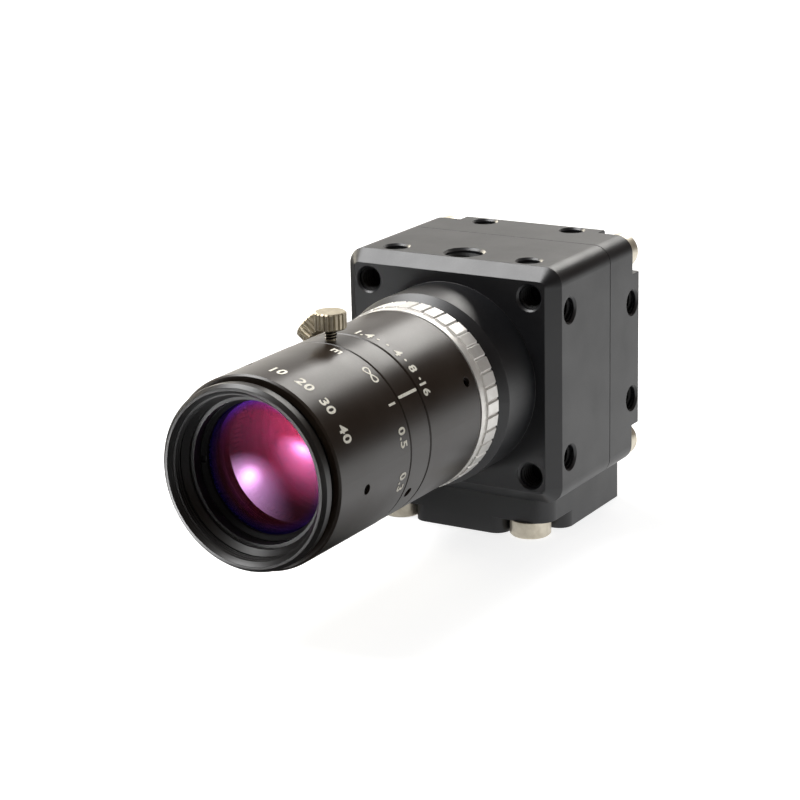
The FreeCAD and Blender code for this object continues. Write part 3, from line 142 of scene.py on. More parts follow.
def make_piece(
    name: str,
    points: np.ndarray,
    faces: np.ndarray,
    finish: bpy.types.Material,
    body: str,
    smooth: bool = True,
) -> bpy.types.Object:
    """Makes a closed surface of four-sided faces into a piece; poles and seams are merged.

    Args:
        name: name of the new object.
        points: points in metres, in the row frame.
        faces: point numbers of each face.
        finish: the material.
        body: the body that the piece moves with.
        smooth: whether the faces are shaded smooth.

    Returns:
        The new object.
    """
    mesh = bpy.data.meshes.new(name)
    mesh.from_pydata(points.reshape(-1, 3).tolist(), [], faces.tolist())
    merge = 1e-7
    work = bmesh.new()
    work.from_mesh(mesh)
    bmesh.ops.remove_doubles(work, verts=work.verts, dist=merge)
    bmesh.ops.dissolve_degenerate(work, edges=work.edges, dist=merge)
    bmesh.ops.recalc_face_normals(work, faces=work.faces)
    work.to_mesh(mesh)
    work.free()
    mesh.polygons.foreach_set("use_smooth", np.full(len(mesh.polygons), smooth))
    return place_piece(mesh, finish, body)


def side_axes(direction: np.ndarray) -> tuple[np.ndarray, np.ndarray]:
    """Two unit vectors square to a direction and to each other.

    Args:
        direction: a unit vector.

    Returns:
        The two vectors.
    """
    helper = np.array([0.0, 0.0, 1.0]) if abs(direction[2]) < 0.9 else np.array([1.0, 0.0, 0.0])
    first = np.cross(direction, helper)
    first /= np.linalg.norm(first)
    return first, np.cross(direction, first)


@dataclass(frozen=True)
class ScrewThread:
    """A helical ridge on the wall of a hole or on a shank.

    Its root is sunk a little into the metal. Its foot and its land are half widths, as shares
    of the pitch, and its ends run out over an angle in radians.
    """

    root: float
    crest: float
    pitch: float
    length: float
    per_turn: int = 28
    sunk: float = 0.04
    foot: float = 0.46
    land: float = 0.07
    run_out: float = 2.1
    thinnest: float = 0.02

    def points(self, mouth: np.ndarray, inward: np.ndarray) -> np.ndarray:
        """Points of the ridge, one row for each step along the helix.

        A step at angle t stands at mouth + inward * (pitch * t / full turn), and its four corners
        are at the root and crest radii. The crest runs out to the root at both ends.

        Args:
            mouth: centre of the thread's first turn, in metres.
            inward: unit vector along the axis.

        Returns:
            An array of steps by four corners by three.
        """
        turns = self.length / self.pitch
        t = np.linspace(0.0, 2 * np.pi * turns, int(turns * self.per_turn) + 1)
        run = np.clip(np.minimum(t, t[-1] - t) / self.run_out, 0.0, 1.0)
        root = np.full_like(t, self.root + (self.sunk if self.crest < self.root else -self.sunk))
        crest = self.root + (self.crest - self.root) * run
        radius = np.stack([root, crest, crest, root], -1)
        width = self.pitch * np.array([-self.foot, -self.land, self.land, self.foot])
        along = self.pitch * t[:, None] / (2 * np.pi) + width * np.maximum(run, self.thinnest)[:, None]
        first, second = side_axes(inward)
        ring = np.cos(t)[:, None] * first + np.sin(t)[:, None] * second
        return mouth + MM * (along[..., None] * inward + radius[..., None] * ring[:, None, :])

    def build(
        self, name: str, mouth: np.ndarray, inward: np.ndarray, finish: bpy.types.Material, body: str, slot: str
    ) -> bpy.types.Object:
        """Makes the ridge with closed ends.

        Args:
            name: name of the piece.
            mouth: centre of the first turn, in metres.
            inward: unit vector along the axis.
            finish: the material.
            body: the body that it moves with.
            slot: not used.

        Returns:
            The new object.
        """
        rows = self.points(mouth, inward)
        count = len(rows)
        faces = grid_faces(count, 4, True)
        last = (count - 1) * 4
        ends = np.array([[0, 1, 2, 3], [last, last + 1, last + 2, last + 3]])
        return make_piece(name, rows, np.vstack([faces, ends]), finish, body, smooth=False)


@dataclass(frozen=True)
class Optic:
    """A round glass element in mm from the lens axis and the front face; a bulge stands out."""

    node: str
    radius: float
    front_y: float
    back_y: float
    front_bulge: float
    back_bulge: float
    front_clear: float
    back_clear: float
    rings: int = 26
    sides: int = 96
    crease: float = 30.0

    def cap(self, clear: float, bulge: float) -> np.ndarray:
        """Section of one polished face, from its middle out.

        The height at distance r is b - (R - sqrt(R^2 - r^2)), with R = (c^2 + b^2) / 2b for a
        clear radius c and a bulge b, and 0 for a flat face.

        Args:
            clear: radius of the polished face in mm.
            bulge: how far its middle stands out in mm; below 0 it is hollow.

        Returns:
            Rows of distance from the axis and height over the face's edge.
        """
        r = clear * np.linspace(0.0, 1.0, self.rings)
        if bulge == 0.0:
            return np.stack([r, np.zeros_like(r)], -1)
        curve = (clear**2 + bulge**2) / (2 * abs(bulge))
        high = abs(bulge) - (curve - np.sqrt(curve**2 - r**2))
        return np.stack([r, np.sign(bulge) * high], -1)

    def build(self, finish: bpy.types.Material, body: str) -> bpy.types.Object:
        """Turns the section round the lens axis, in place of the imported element.

        Args:
            finish: the glass.
            body: the body that it moves with.

        Returns:
            The new object.
        """
        front = self.cap(self.front_clear, self.front_bulge)
        back = self.cap(self.back_clear, self.back_bulge)[::-1]
        front[:, 1] = self.front_y - front[:, 1]
        back[:, 1] = self.back_y + back[:, 1]
        edge = np.array([[self.radius, self.front_y], [self.radius, self.back_y]])
        section = np.vstack([front, edge, back])
        turn = np.linspace(0.0, 2 * np.pi, self.sides, endpoint=False)[None, :]
        r, y = section[:, :1], section[:, 1:]
        points = np.stack([r * np.cos(turn), y + 0.0 * turn, r * np.sin(turn)], -1)
        points = (points + np.array([0.0, DATUM.front_y, DATUM.axis_z])) * MM
        faces = grid_faces(len(section), self.sides, True)
        piece = make_piece(f"{self.node}_polished", points, faces, finish, body)
        piece.data.set_sharp_from_angle(angle=np.radians(self.crease))
        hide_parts(self.node)
        return piece


@dataclass(frozen=True)
class RingMark:
    """Paint on a turned surface: its angle, its place along the axis and its radius."""

    angle: float
    y: float
    radius: float
    lift: float = 0.03

    def wrap(self, flat: np.ndarray) -> np.ndarray:
        """Lays flat points on the cylinder.

        The flat X runs round the barrel towards smaller angles, the flat Y runs backwards along
        the axis, and the flat Z stands off the surface.

        Args:
            flat: points in mm, X along the line of text, Y up the letters, Z off the surface.

        Returns:
            Points in metres in the row frame.
        """
        radius = self.radius + self.lift + flat[:, 2]
        angle = np.radians(self.angle) - flat[:, 0] / self.radius
        place = np.stack([radius * np.cos(angle), self.y + flat[:, 1], radius * np.sin(angle)], -1)
        return (place + np.array([0.0, DATUM.front_y, DATUM.axis_z])) * MM


def numeral_mesh(text: str, height: float) -> tuple[np.ndarray, list[list[int]]]:
    """Flat numerals from the built-in letter shapes, centred on their own middle.

    Args:
        text: the numerals.
        height: height of a figure in mm.

    Returns:
        Points in mm and the faces.
    """
    curve = bpy.data.curves.new("numeral", "FONT")
    figure_share, spacing, weight = 0.7, 1.12, 0.04
    curve.body = text
    curve.size = height / figure_share
    curve.space_character = spacing
    curve.resolution_u = 4
    curve.offset = weight * height
    curve.extrude = PAINT_HALF
    shape = bpy.data.objects.new("numeral", curve)
    bpy.context.scene.collection.objects.link(shape)
    bpy.context.view_layer.update()
    graph = bpy.context.evaluated_depsgraph_get()
    mesh = bpy.data.meshes.new_from_object(shape.evaluated_get(graph))
    points = np.zeros(len(mesh.vertices) * 3)
    mesh.vertices.foreach_get("co", points)
    points = points.reshape(-1, 3)
    faces = [list(face.vertices) for face in mesh.polygons]
    bpy.data.objects.remove(shape)
    bpy.data.curves.remove(curve)
    bpy.data.meshes.remove(mesh)
    middle = (points.min(0) + points.max(0)) / 2
    middle[2] = 0.0
    return points - middle, faces


def ribbon_mesh(line: np.ndarray, width: float) -> tuple[np.ndarray, list[list[int]]]:
    """A thin closed band of even width along a closed flat line.

    Each point of the line gives two points, half a width to either side along the line's normal,
    and each of these stands at two heights.

    Args:
        line: points of a closed line in mm, two columns.
        width: width of the band in mm.

    Returns:
        Points in mm and the faces.
    """
    ahead = np.roll(line, -1, 0) - np.roll(line, 1, 0)
    normal = np.stack([-ahead[:, 1], ahead[:, 0]], -1)
    normal /= np.linalg.norm(normal, axis=1)[:, None]
    left, right = line + normal * width / 2, line - normal * width / 2
    count = len(line)
    low, high = np.full((count, 1), -PAINT_HALF), np.full((count, 1), PAINT_HALF)
    corners = ((left, low), (right, low), (right, high), (left, high))
    rows = np.stack([np.hstack(corner) for corner in corners], 1)
    faces = grid_faces(count + 1, 4, True) % (count * 4)
    return rows.reshape(-1, 3), faces.tolist()


# ---------------------------------------------------------------- shader wiring
class Wires:
    """A node tree, with short calls that add nodes and join their sockets."""

    def __init__(self, tree: bpy.types.NodeTree) -> None:
        """Keeps the tree that the calls work on."""
        self.tree = tree

    def feed(self, node: bpy.types.Node, inputs: dict) -> None:
        """Joins or sets some of a node's inputs.

        Args:
            node: the node.
            inputs: socket name or number to a value, or to the output socket that feeds it.
        """
        for key, value in inputs.items():
            if isinstance(value, Socket):
                self.tree.links.new(value, node.inputs[key])
            else:
                node.inputs[key].default_value = value

    def add(self, kind: str, inputs: dict | None = None, **settings: object) -> bpy.types.Node:
        """Adds a node.

        Args:
            kind: the node's type, without the leading ShaderNode.
            inputs: socket name or number to a value, or to the output socket that feeds it.
            settings: properties of the node.

        Returns:
            The node.
        """
        node = self.tree.nodes.new("ShaderNode" + kind)
        for key, value in settings.items():
            setattr(node, key, value)
        self.feed(node, inputs or {})
        return node

    def math(self, operation: str, *values: object) -> Socket:
        """A Math node's result, from numbers or sockets."""
        return self.add("Math", dict(enumerate(values)), operation=operation).outputs[0]

    def mix(self, factor: object, first: object, second: object) -> Socket:
        """A colour between two colours."""
        return self.add("Mix", {0: factor, 6: first, 7: second}, data_type="RGBA").outputs[2]

    def spread(
        self, value: object, low: object, high: object, to_low: object = 0.0, to_high: object = 1.0
    ) -> Socket:
        """A value carried from one range to another, held at its ends."""
        return self.add("MapRange", {0: value, 1: low, 2: high, 3: to_low, 4: to_high}).outputs[0]

    def object_mm(self) -> Socket:
        """The shaded point in the row frame, in mm."""
        place = self.add("TexCoord").outputs["Object"]
        return self.add("VectorMath", {0: place, "Scale": 1 / MM}, operation="SCALE").outputs[0]

    def length(self, vector: Socket) -> Socket:
        """The length of a vector."""
        return self.add("VectorMath", {0: vector}, operation="LENGTH").outputs["Value"]

    def noise(self, per_mm: object, detail: float = 2.0, **more: float) -> Socket:
        """Smooth noise over the piece, with further inputs of its node where they are given."""
        inputs = {"Vector": self.object_mm(), "Scale": per_mm, "Detail": detail, **more}
        return self.add("TexNoise", inputs).outputs[0]

    def bump(self, depth: float, height: Socket, **more: Socket) -> Socket:
        """The normal raised by a height of so many mm, over a first Normal where it is given."""
        return self.add("Bump", {"Distance": depth * MM, "Height": height, **more}).outputs[0]

    def group(self, tree: bpy.types.NodeTree, **values: float) -> bpy.types.Node:
        """Places a node group; its inputs are named with _ for a space."""
        inputs = {key.replace("_", " "): value for key, value in values.items()}
        return self.add("Group", inputs, node_tree=tree)


def empty_tree(holder: bpy.types.Material | bpy.types.World) -> Wires:
    """Clears the nodes of a material or a world.

    Args:
        holder: the material or the world.

    Returns:
        The wires of its tree.
    """
    holder.use_nodes = True
    holder.node_tree.nodes.clear()
    return Wires(holder.node_tree)


def linear(red: int, green: int, blue: int) -> Shade:
    """Turns a display colour into the shader's linear colour.

    Args:
        red: its red from 0 to 255.
        green: its green from 0 to 255.
        blue: its blue from 0 to 255.

    Returns:
        Linear red, green and blue, and 1.
    """
    share = np.array([red, green, blue]) / 255.0
    value = np.where(share <= 0.04045, share / 12.92, ((share + 0.055) / 1.055) ** 2.4)
    return (*value.tolist(), 1.0)


def grey(level: float) -> Shade:
    """A linear grey."""
    return (level, level, level, 1.0)


class Effects:
    """Surface effects that several materials share, each a node group built once."""

    def __init__(self) -> None:
        """Builds the groups."""
        self.edge_wear_and_highlight = self._edge_wear_and_highlight()
        self.blast_grain = self._blast_grain()
        self.lathe_lines = self._lathe_lines()
        self.fine_dust = self._fine_dust()
        self.axis_mask = self._axis_mask()

    @staticmethod
    def _new(
        name: str, inputs: dict[str, float], outputs: dict[str, str]
    ) -> tuple[Wires, bpy.types.Node, bpy.types.Node]:
        """Starts a group.

        Args:
            name: name of the group.
            inputs: input names with their usual values.
            outputs: output names with their socket types.

        Returns:
            Its wires, its input node and its output node.
        """
        tree = bpy.data.node_groups.new(name, "ShaderNodeTree")
        for key, value in inputs.items():
            tree.interface.new_socket(key, in_out="INPUT", socket_type=VALUE).default_value = value
        for key, kind in outputs.items():
            tree.interface.new_socket(key, in_out="OUTPUT", socket_type=kind)
        return Wires(tree), tree.nodes.new("NodeGroupInput"), tree.nodes.new("NodeGroupOutput")

    def _edge_wear_and_highlight(self) -> bpy.types.NodeTree:
        """Finds edges by comparing a normal averaged over a small radius with the plain one.

        Returns:
            The group: a patchy mask of the edges, for wear and a painted edge highlight, and the averaged normal.
        """
        wires, given, out = self._new(
            "edge_wear_and_highlight", {"Width mm": 0.2, "Gain": 3.0}, {"Mask": VALUE, "Normal": VECTOR}
        )
        radius = wires.math("MULTIPLY", given.outputs["Width mm"], MM)
        soft = wires.add("Bevel", {"Radius": radius}, samples=6).outputs[0]
        plain = wires.add("NewGeometry").outputs["Normal"]
        dot = wires.add("VectorMath", {0: soft, 1: plain}, operation="DOT_PRODUCT").outputs["Value"]
        bend = wires.math("MULTIPLY", wires.math("SUBTRACT", 1.0, dot), given.outputs["Gain"])
        patchy = wires.spread(wires.noise(1.7, 3.0), 0.3, 0.65)
        # The mask marks the edges that are painted paler: partly wear, partly a painted highlight.
        mask = wires.math("MINIMUM", wires.math("MULTIPLY", bend, patchy), 1.0)
        wires.feed(out, {"Mask": mask, "Normal": soft})
        return wires.tree

    def _blast_grain(self) -> bpy.types.NodeTree:
        """Makes fine bead-blast grain, and a slow mottle from handling.

        Returns:
            The group: the grain's height and the mottle.
        """
        wires, given, out = self._new(
            "blast_grain", {"Grain per mm": 7.0, "Mottle per mm": 0.12}, {"Height": VALUE, "Mottle": VALUE}
        )
        fine = wires.noise(given.outputs["Grain per mm"], 2.0, Roughness=0.6)
        slow = wires.noise(given.outputs["Mottle per mm"], 4.0, Roughness=0.55)
        wires.feed(out, {"Height": fine, "Mottle": wires.spread(slow, *NOISE_RANGE)})
        return wires.tree

    def _lathe_lines(self) -> bpy.types.NodeTree:
        """Makes turning marks, which change along the lens axis and hardly round it.

        Returns:
            The group: the marks' height.
        """
        wires, given, out = self._new("lathe_lines", {"Lines per mm": 9.0}, {"Height": VALUE})
        round_per_mm = 0.06
        parts = wires.add("SeparateXYZ", {0: wires.object_mm()})
        along = wires.math("MULTIPLY", parts.outputs["Y"], given.outputs["Lines per mm"])
        side, up = (wires.math("MULTIPLY", parts.outputs[axis], round_per_mm) for axis in "XZ")
        place = wires.add("CombineXYZ", {0: side, 1: along, 2: up}).outputs[0]
        lines = wires.add("TexNoise", {"Vector": place, "Scale": 1.0, "Detail": 2.0, "Roughness": 0.7})
        wires.feed(out, {"Height": lines.outputs[0]})
        return wires.tree

    def _fine_dust(self) -> bpy.types.NodeTree:
        """Scatters a thin dust on faces that look up.

        Returns:
            The group: the dust's mask.
        """
        wires, given, out = self._new("fine_dust", {"Amount": 0.1}, {"Mask": VALUE})
        up = wires.add("SeparateXYZ", {0: wires.add("NewGeometry").outputs["Normal"]}).outputs["Z"]
        specks = wires.spread(wires.noise(2.6, 5.0, Roughness=0.75), 0.5, 0.8)
        lying = wires.math("MULTIPLY", wires.spread(up, 0.2, 1.0), specks)
        wires.feed(out, {"Mask": wires.math("MULTIPLY", lying, given.outputs["Amount"])})
        return wires.tree

    def _axis_mask(self) -> bpy.types.NodeTree:
        """Tells what lies past a radius round the lens axis.

        The distance is the length of the point's offset from the axis, flattened along Y. The
        mask goes from 0 at the radius less the blend to 1 at the radius plus the blend.

        Returns:
            The group: the mask.
        """
        wires, given, out = self._new("axis_mask", {"Radius mm": 10.0, "Blend mm": 0.5}, {"Mask": VALUE})
        axis = {0: wires.object_mm(), 1: (0.0, 0.0, DATUM.axis_z)}
        offset = wires.add("VectorMath", axis, operation="SUBTRACT").outputs[0]
        across = wires.add("VectorMath", {0: offset, 1: (1.0, 0.0, 1.0)}, operation="MULTIPLY").outputs[0]
        low, high = (
            wires.math(way, given.outputs["Radius mm"], given.outputs["Blend mm"]) for way in ("SUBTRACT", "ADD")
        )
        wires.feed(out, {"Mask": wires.spread(wires.length(across), low, high)})
        return wires.tree


EFFECTS = Effects()


def new_material(name: str) -> tuple[bpy.types.Material, Wires, bpy.types.Node]:
    """Starts a material.

    Args:
        name: its name.

    Returns:
        The material, its wires and its Principled shader, already joined to the output.
    """
    material = bpy.data.materials.new(name)
    wires = empty_tree(material)
    shader = wires.add("BsdfPrincipled")
    wires.add("OutputMaterial", {"Surface": shader.outputs[0]})
    return material, wires, shader


# ---------------------------------------------------------------- finishes
@dataclass(frozen=True)
class AnodisedFinish:
    """Dyed anodised aluminium: a fine grain, paler edges that are partly wear and partly a painted highlight, faint
    dust.
    """

    name: str
    colour: Colour = (16, 17, 20)
    edge_wear_and_highlight_colour: Colour = (70, 70, 71)
    roughness: float = 0.41
    smoother: float = 0.03
    rougher: float = 0.04
    specular: float = 0.62
    fading: float = 1.35
    edge_width: float = 0.16
    edge_gain: float = 1.2
    grain_per_mm: float = 6.5
    grain_depth: float = 0.0016
    lathe: bool = False
    lathe_grain: float = 0.35
    dust: float = 0.05
    dust_colour: Colour = (176, 170, 160)
    mouth_radius: float = 0.0
    mouth_blend: float = 0.15
    mouth_rougher: float = 0.08
    mouth_painted_shade: Colour = (8, 8, 8)

    def build(self) -> bpy.types.Material:
        """Makes the material.

        Returns:
            The material, with turning marks where it is turned, and painted shade inside the mouth, where the colour
            goes blacker.
        """
        material, wires, shader = new_material(self.name)
        edges = wires.group(EFFECTS.edge_wear_and_highlight, Width_mm=self.edge_width, Gain=self.edge_gain)
        grain = wires.group(EFFECTS.blast_grain, Grain_per_mm=self.grain_per_mm)
        dust = wires.group(EFFECTS.fine_dust, Amount=self.dust)
        mottle, height = grain.outputs["Mottle"], grain.outputs["Height"]
        dye = linear(*self.colour)
        faded = tuple(min(1.0, c * self.fading) for c in dye[:3]) + (1.0,)
        colour = wires.mix(mottle, dye, faded)
        # Paler edges: partly wear, partly a painted highlight where the edges catch the light.
        colour = wires.mix(edges.outputs["Mask"], colour, linear(*self.edge_wear_and_highlight_colour))
        colour = wires.mix(dust.outputs["Mask"], colour, linear(*self.dust_colour))
        rough = wires.spread(mottle, 0.0, 1.0, self.roughness - self.smoother, self.roughness + self.rougher)
        # Painted shade: inside the mouth radius the colour goes blacker, as the recessed mouth is in shade.
        if self.mouth_radius:
            past = wires.group(EFFECTS.axis_mask, Radius_mm=self.mouth_radius, Blend_mm=self.mouth_blend)
            inside = wires.math("SUBTRACT", 1.0, past.outputs["Mask"])
            rough = wires.math("ADD", rough, wires.math("MULTIPLY", inside, self.mouth_rougher))
            colour = wires.mix(inside, colour, linear(*self.mouth_painted_shade))
        if self.lathe:
            lines = wires.group(EFFECTS.lathe_lines)
            height = wires.math("ADD", wires.math("MULTIPLY", height, self.lathe_grain), lines.outputs["Height"])
        normal = wires.bump(self.grain_depth, height, Normal=edges.outputs["Normal"])
        wires.feed(shader, {"Base Color": colour, "Roughness": rough, "Normal": normal})
        wires.feed(shader, {"Specular IOR Level": self.specular})
        return material


@dataclass(frozen=True)
class MetalFinish:
    """Bare or plated metal with turning marks, and paler edges that are partly wear and partly a painted highlight."""

    name: str
    colour: Colour
    dull_colour: Colour
    roughness: float
    duller: float = 0.05
    brighter: float = 0.03
    metallic: float = 1.0
    edge_width: float = 0.08
    edge_gain: float = 1.6
    edge_paler_wear_and_highlight: int = 30
    grain_per_mm: float = 9.0
    grain_share: float = 0.4
    mottle_per_mm: float = 0.8
    lines_per_mm: float = 11.0
    depth: float = 0.001

    def build(self) -> bpy.types.Material:
        """Makes the material.

        Returns:
            The material, smoother where it is bright and rougher where it is dull.
        """
        material, wires, shader = new_material(self.name)
        edges = wires.group(EFFECTS.edge_wear_and_highlight, Width_mm=self.edge_width, Gain=self.edge_gain)
        grain = wires.group(
            EFFECTS.blast_grain, Grain_per_mm=self.grain_per_mm, Mottle_per_mm=self.mottle_per_mm
        )
        lines = wires.group(EFFECTS.lathe_lines, Lines_per_mm=self.lines_per_mm)
        mottle = grain.outputs["Mottle"]
        # Paler edges: partly wear, partly a painted highlight.
        paler_edge_wear_and_highlight = linear(*[min(255, c + self.edge_paler_wear_and_highlight) for c in self.colour])
        colour = wires.mix(mottle, linear(*self.dull_colour), linear(*self.colour))
        colour = wires.mix(edges.outputs["Mask"], colour, paler_edge_wear_and_highlight)
        rough = wires.spread(mottle, 0.0, 1.0, self.roughness + self.duller, self.roughness - self.brighter)
        fine = wires.math("MULTIPLY", grain.outputs["Height"], self.grain_share)
        height = wires.math("ADD", fine, lines.outputs["Height"])
        normal = wires.bump(self.depth, height, Normal=edges.outputs["Normal"])
        wires.feed(shader, {"Base Color": colour, "Roughness": rough, "Normal": normal})
        wires.feed(shader, {"Metallic": self.metallic})
        return material


@dataclass(frozen=True)
class CoatedGlassFinish:
    """Lens glass with a coating whose reflections are tinted, faint cleaning marks, and where given a painted
    reflection colour in its body and past a rim radius.
    """

    name: str
    tint: Colour
    index: float
    specular: float
    body_tint_and_painted_reflection: Colour = (255, 255, 255)
    transmission: float = 1.0
    mark_roughness: float = 0.03
    haze: float = 0.06
    haze_colour: Colour = (225, 228, 235)
    rim_painted_reflection: Colour = (255, 255, 255)
    rim_radius: float = 0.0
    rim_blend: float = 0.9

    def build(self) -> bpy.types.Material:
        """Makes the material.

        Returns:
            The material; past the rim radius its colour goes over to the rim's painted reflection colour.
        """
        material, wires, shader = new_material(self.name)
        marks = wires.noise(0.35, 5.0, Distortion=1.5)
        rough = wires.spread(marks, 0.45, 0.8, 0.0, self.mark_roughness)
        haze = wires.spread(wires.noise(0.12), *NOISE_RANGE, 0.0, self.haze)
        colour = wires.mix(haze, linear(*self.body_tint_and_painted_reflection), linear(*self.haze_colour))
        # Painted reflection: past the rim radius the colour goes over to the rim's colour.
        if self.rim_radius:
            past = wires.group(EFFECTS.axis_mask, Radius_mm=self.rim_radius, Blend_mm=self.rim_blend)
            colour = wires.mix(past.outputs["Mask"], colour, linear(*self.rim_painted_reflection))
        wires.feed(shader, {"Base Color": colour, "Roughness": rough})
        wires.feed(shader, {"Transmission Weight": self.transmission, "IOR": self.index})
        wires.feed(shader, {"Specular IOR Level": self.specular, "Specular Tint": linear(*self.tint)})
        return material


@dataclass(frozen=True)
class PaintFinish:
    """Filled marking paint, slightly uneven."""

    name: str
    colour: Colour = (244, 240, 228)
    worn_colour: Colour = (214, 208, 192)
    roughness: tuple[float, float] = (0.42, 0.58)
    grain_per_mm: float = 10.0
    mottle_per_mm: float = 2.2
    depth: float = 0.002

    def build(self) -> bpy.types.Material:
        """Makes the material.

        Returns:
            The material.
        """
        material, wires, shader = new_material(self.name)
        grain = wires.group(
            EFFECTS.blast_grain, Grain_per_mm=self.grain_per_mm, Mottle_per_mm=self.mottle_per_mm
        )
        colour = wires.mix(grain.outputs["Mottle"], linear(*self.colour), linear(*self.worn_colour))
        rough = wires.spread(grain.outputs["Height"], *NOISE_RANGE, *self.roughness)
        normal = wires.bump(self.depth, grain.outputs["Height"])
        wires.feed(shader, {"Base Color": colour, "Roughness": rough, "Normal": normal})
        return material


@dataclass(frozen=True)
class PlasticFinish:
    """Moulded or ceramic part: fine grain and a slow change of tone."""

    name: str
    colour: Colour = (24, 24, 26)
    pale_colour: Colour = (36, 36, 38)
    roughness: float = 0.5
    smoother: float = 0.05
    rougher: float = 0.06
    edge_width: float = 0.1
    grain_per_mm: float = 4.0
    mottle_per_mm: float = 0.4
    depth: float = 0.004

    def build(self) -> bpy.types.Material:
        """Makes the material.

        Returns:
            The material.
        """
        material, wires, shader = new_material(self.name)
        edges = wires.group(EFFECTS.edge_wear_and_highlight, Width_mm=self.edge_width, Gain=1.0)
        grain = wires.group(
            EFFECTS.blast_grain, Grain_per_mm=self.grain_per_mm, Mottle_per_mm=self.mottle_per_mm
        )
        mottle = grain.outputs["Mottle"]
        colour = wires.mix(mottle, linear(*self.colour), linear(*self.pale_colour))
        rough = wires.spread(mottle, 0.0, 1.0, self.roughness - self.smoother, self.roughness + self.rougher)
        normal = wires.bump(self.depth, grain.outputs["Height"], Normal=edges.outputs["Normal"])
        wires.feed(shader, {"Base Color": colour, "Roughness": rough, "Normal": normal})
        return material


@dataclass(frozen=True)
class BoardFinish:
    """Solder-masked circuit board with covered copper tracks and tinned pads."""

    name: str = "solder_masked_board"
    mask_colour: Colour = (16, 82, 48)
    track_colour: Colour = (34, 116, 68)
    pad_colour: Colour = (206, 200, 176)
    track_pitch: float = 1.1
    track_place: float = 0.46
    track_width: tuple[float, float] = (0.05, 0.09)
    pads_per_mm: float = 0.42
    pad_width: tuple[float, float] = (0.12, 0.16)
    roughness: tuple[float, float] = (0.34, 0.26)
    relief: float = 0.03

    def build(self) -> bpy.types.Material:
        """Makes the material.

        Returns:
            The material. Tracks are the borders of square cells, and pads the middles of others.
        """
        material, wires, shader = new_material(self.name)
        place = wires.object_mm()
        cells = wires.add(
            "TexVoronoi", {"Vector": place, "Scale": 1 / self.track_pitch, "Randomness": 0.55},
            distance="MANHATTAN", feature="F1",
        )
        dots = wires.add(
            "TexVoronoi", {"Vector": place, "Scale": self.pads_per_mm, "Randomness": 0.8}, distance="EUCLIDEAN"
        )
        apart = wires.math("ABSOLUTE", wires.math("SUBTRACT", cells.outputs["Distance"], self.track_place))
        track = wires.spread(apart, *self.track_width, 1.0, 0.0)
        pad = wires.spread(dots.outputs["Distance"], *self.pad_width, 1.0, 0.0)
        colour = wires.mix(track, linear(*self.mask_colour), linear(*self.track_colour))
        colour = wires.mix(pad, colour, linear(*self.pad_colour))
        rough = wires.spread(pad, 0.0, 1.0, *self.roughness)
        normal = wires.bump(self.relief, wires.math("MAXIMUM", track, pad))
        wires.feed(shader, {"Base Color": colour, "Roughness": rough, "Metallic": pad, "Normal": normal})
        return material


@dataclass(frozen=True)
class StatusLightFinish:
    """Milky plastic light pipe with a faint glow."""

    name: str = "status_light_lens"
    colour: Colour = (176, 224, 184)
    pale_colour: Colour = (206, 236, 208)
    roughness: tuple[float, float] = (0.16, 0.3)
    glow: float = 0.35
    grain_per_mm: float = 5.0
    mottle_per_mm: float = 1.5

    def build(self) -> bpy.types.Material:
        """Makes the material.

        Returns:
            The material.
        """
        material, wires, shader = new_material(self.name)
        grain = wires.group(
            EFFECTS.blast_grain, Grain_per_mm=self.grain_per_mm, Mottle_per_mm=self.mottle_per_mm
        )
        colour = wires.mix(grain.outputs["Mottle"], linear(*self.colour), linear(*self.pale_colour))
        rough = wires.spread(grain.outputs["Height"], *NOISE_RANGE, *self.roughness)
        wires.feed(shader, {"Base Color": colour, "Emission Color": colour, "Roughness": rough})
        wires.feed(shader, {"Emission Strength": self.glow})
        return material


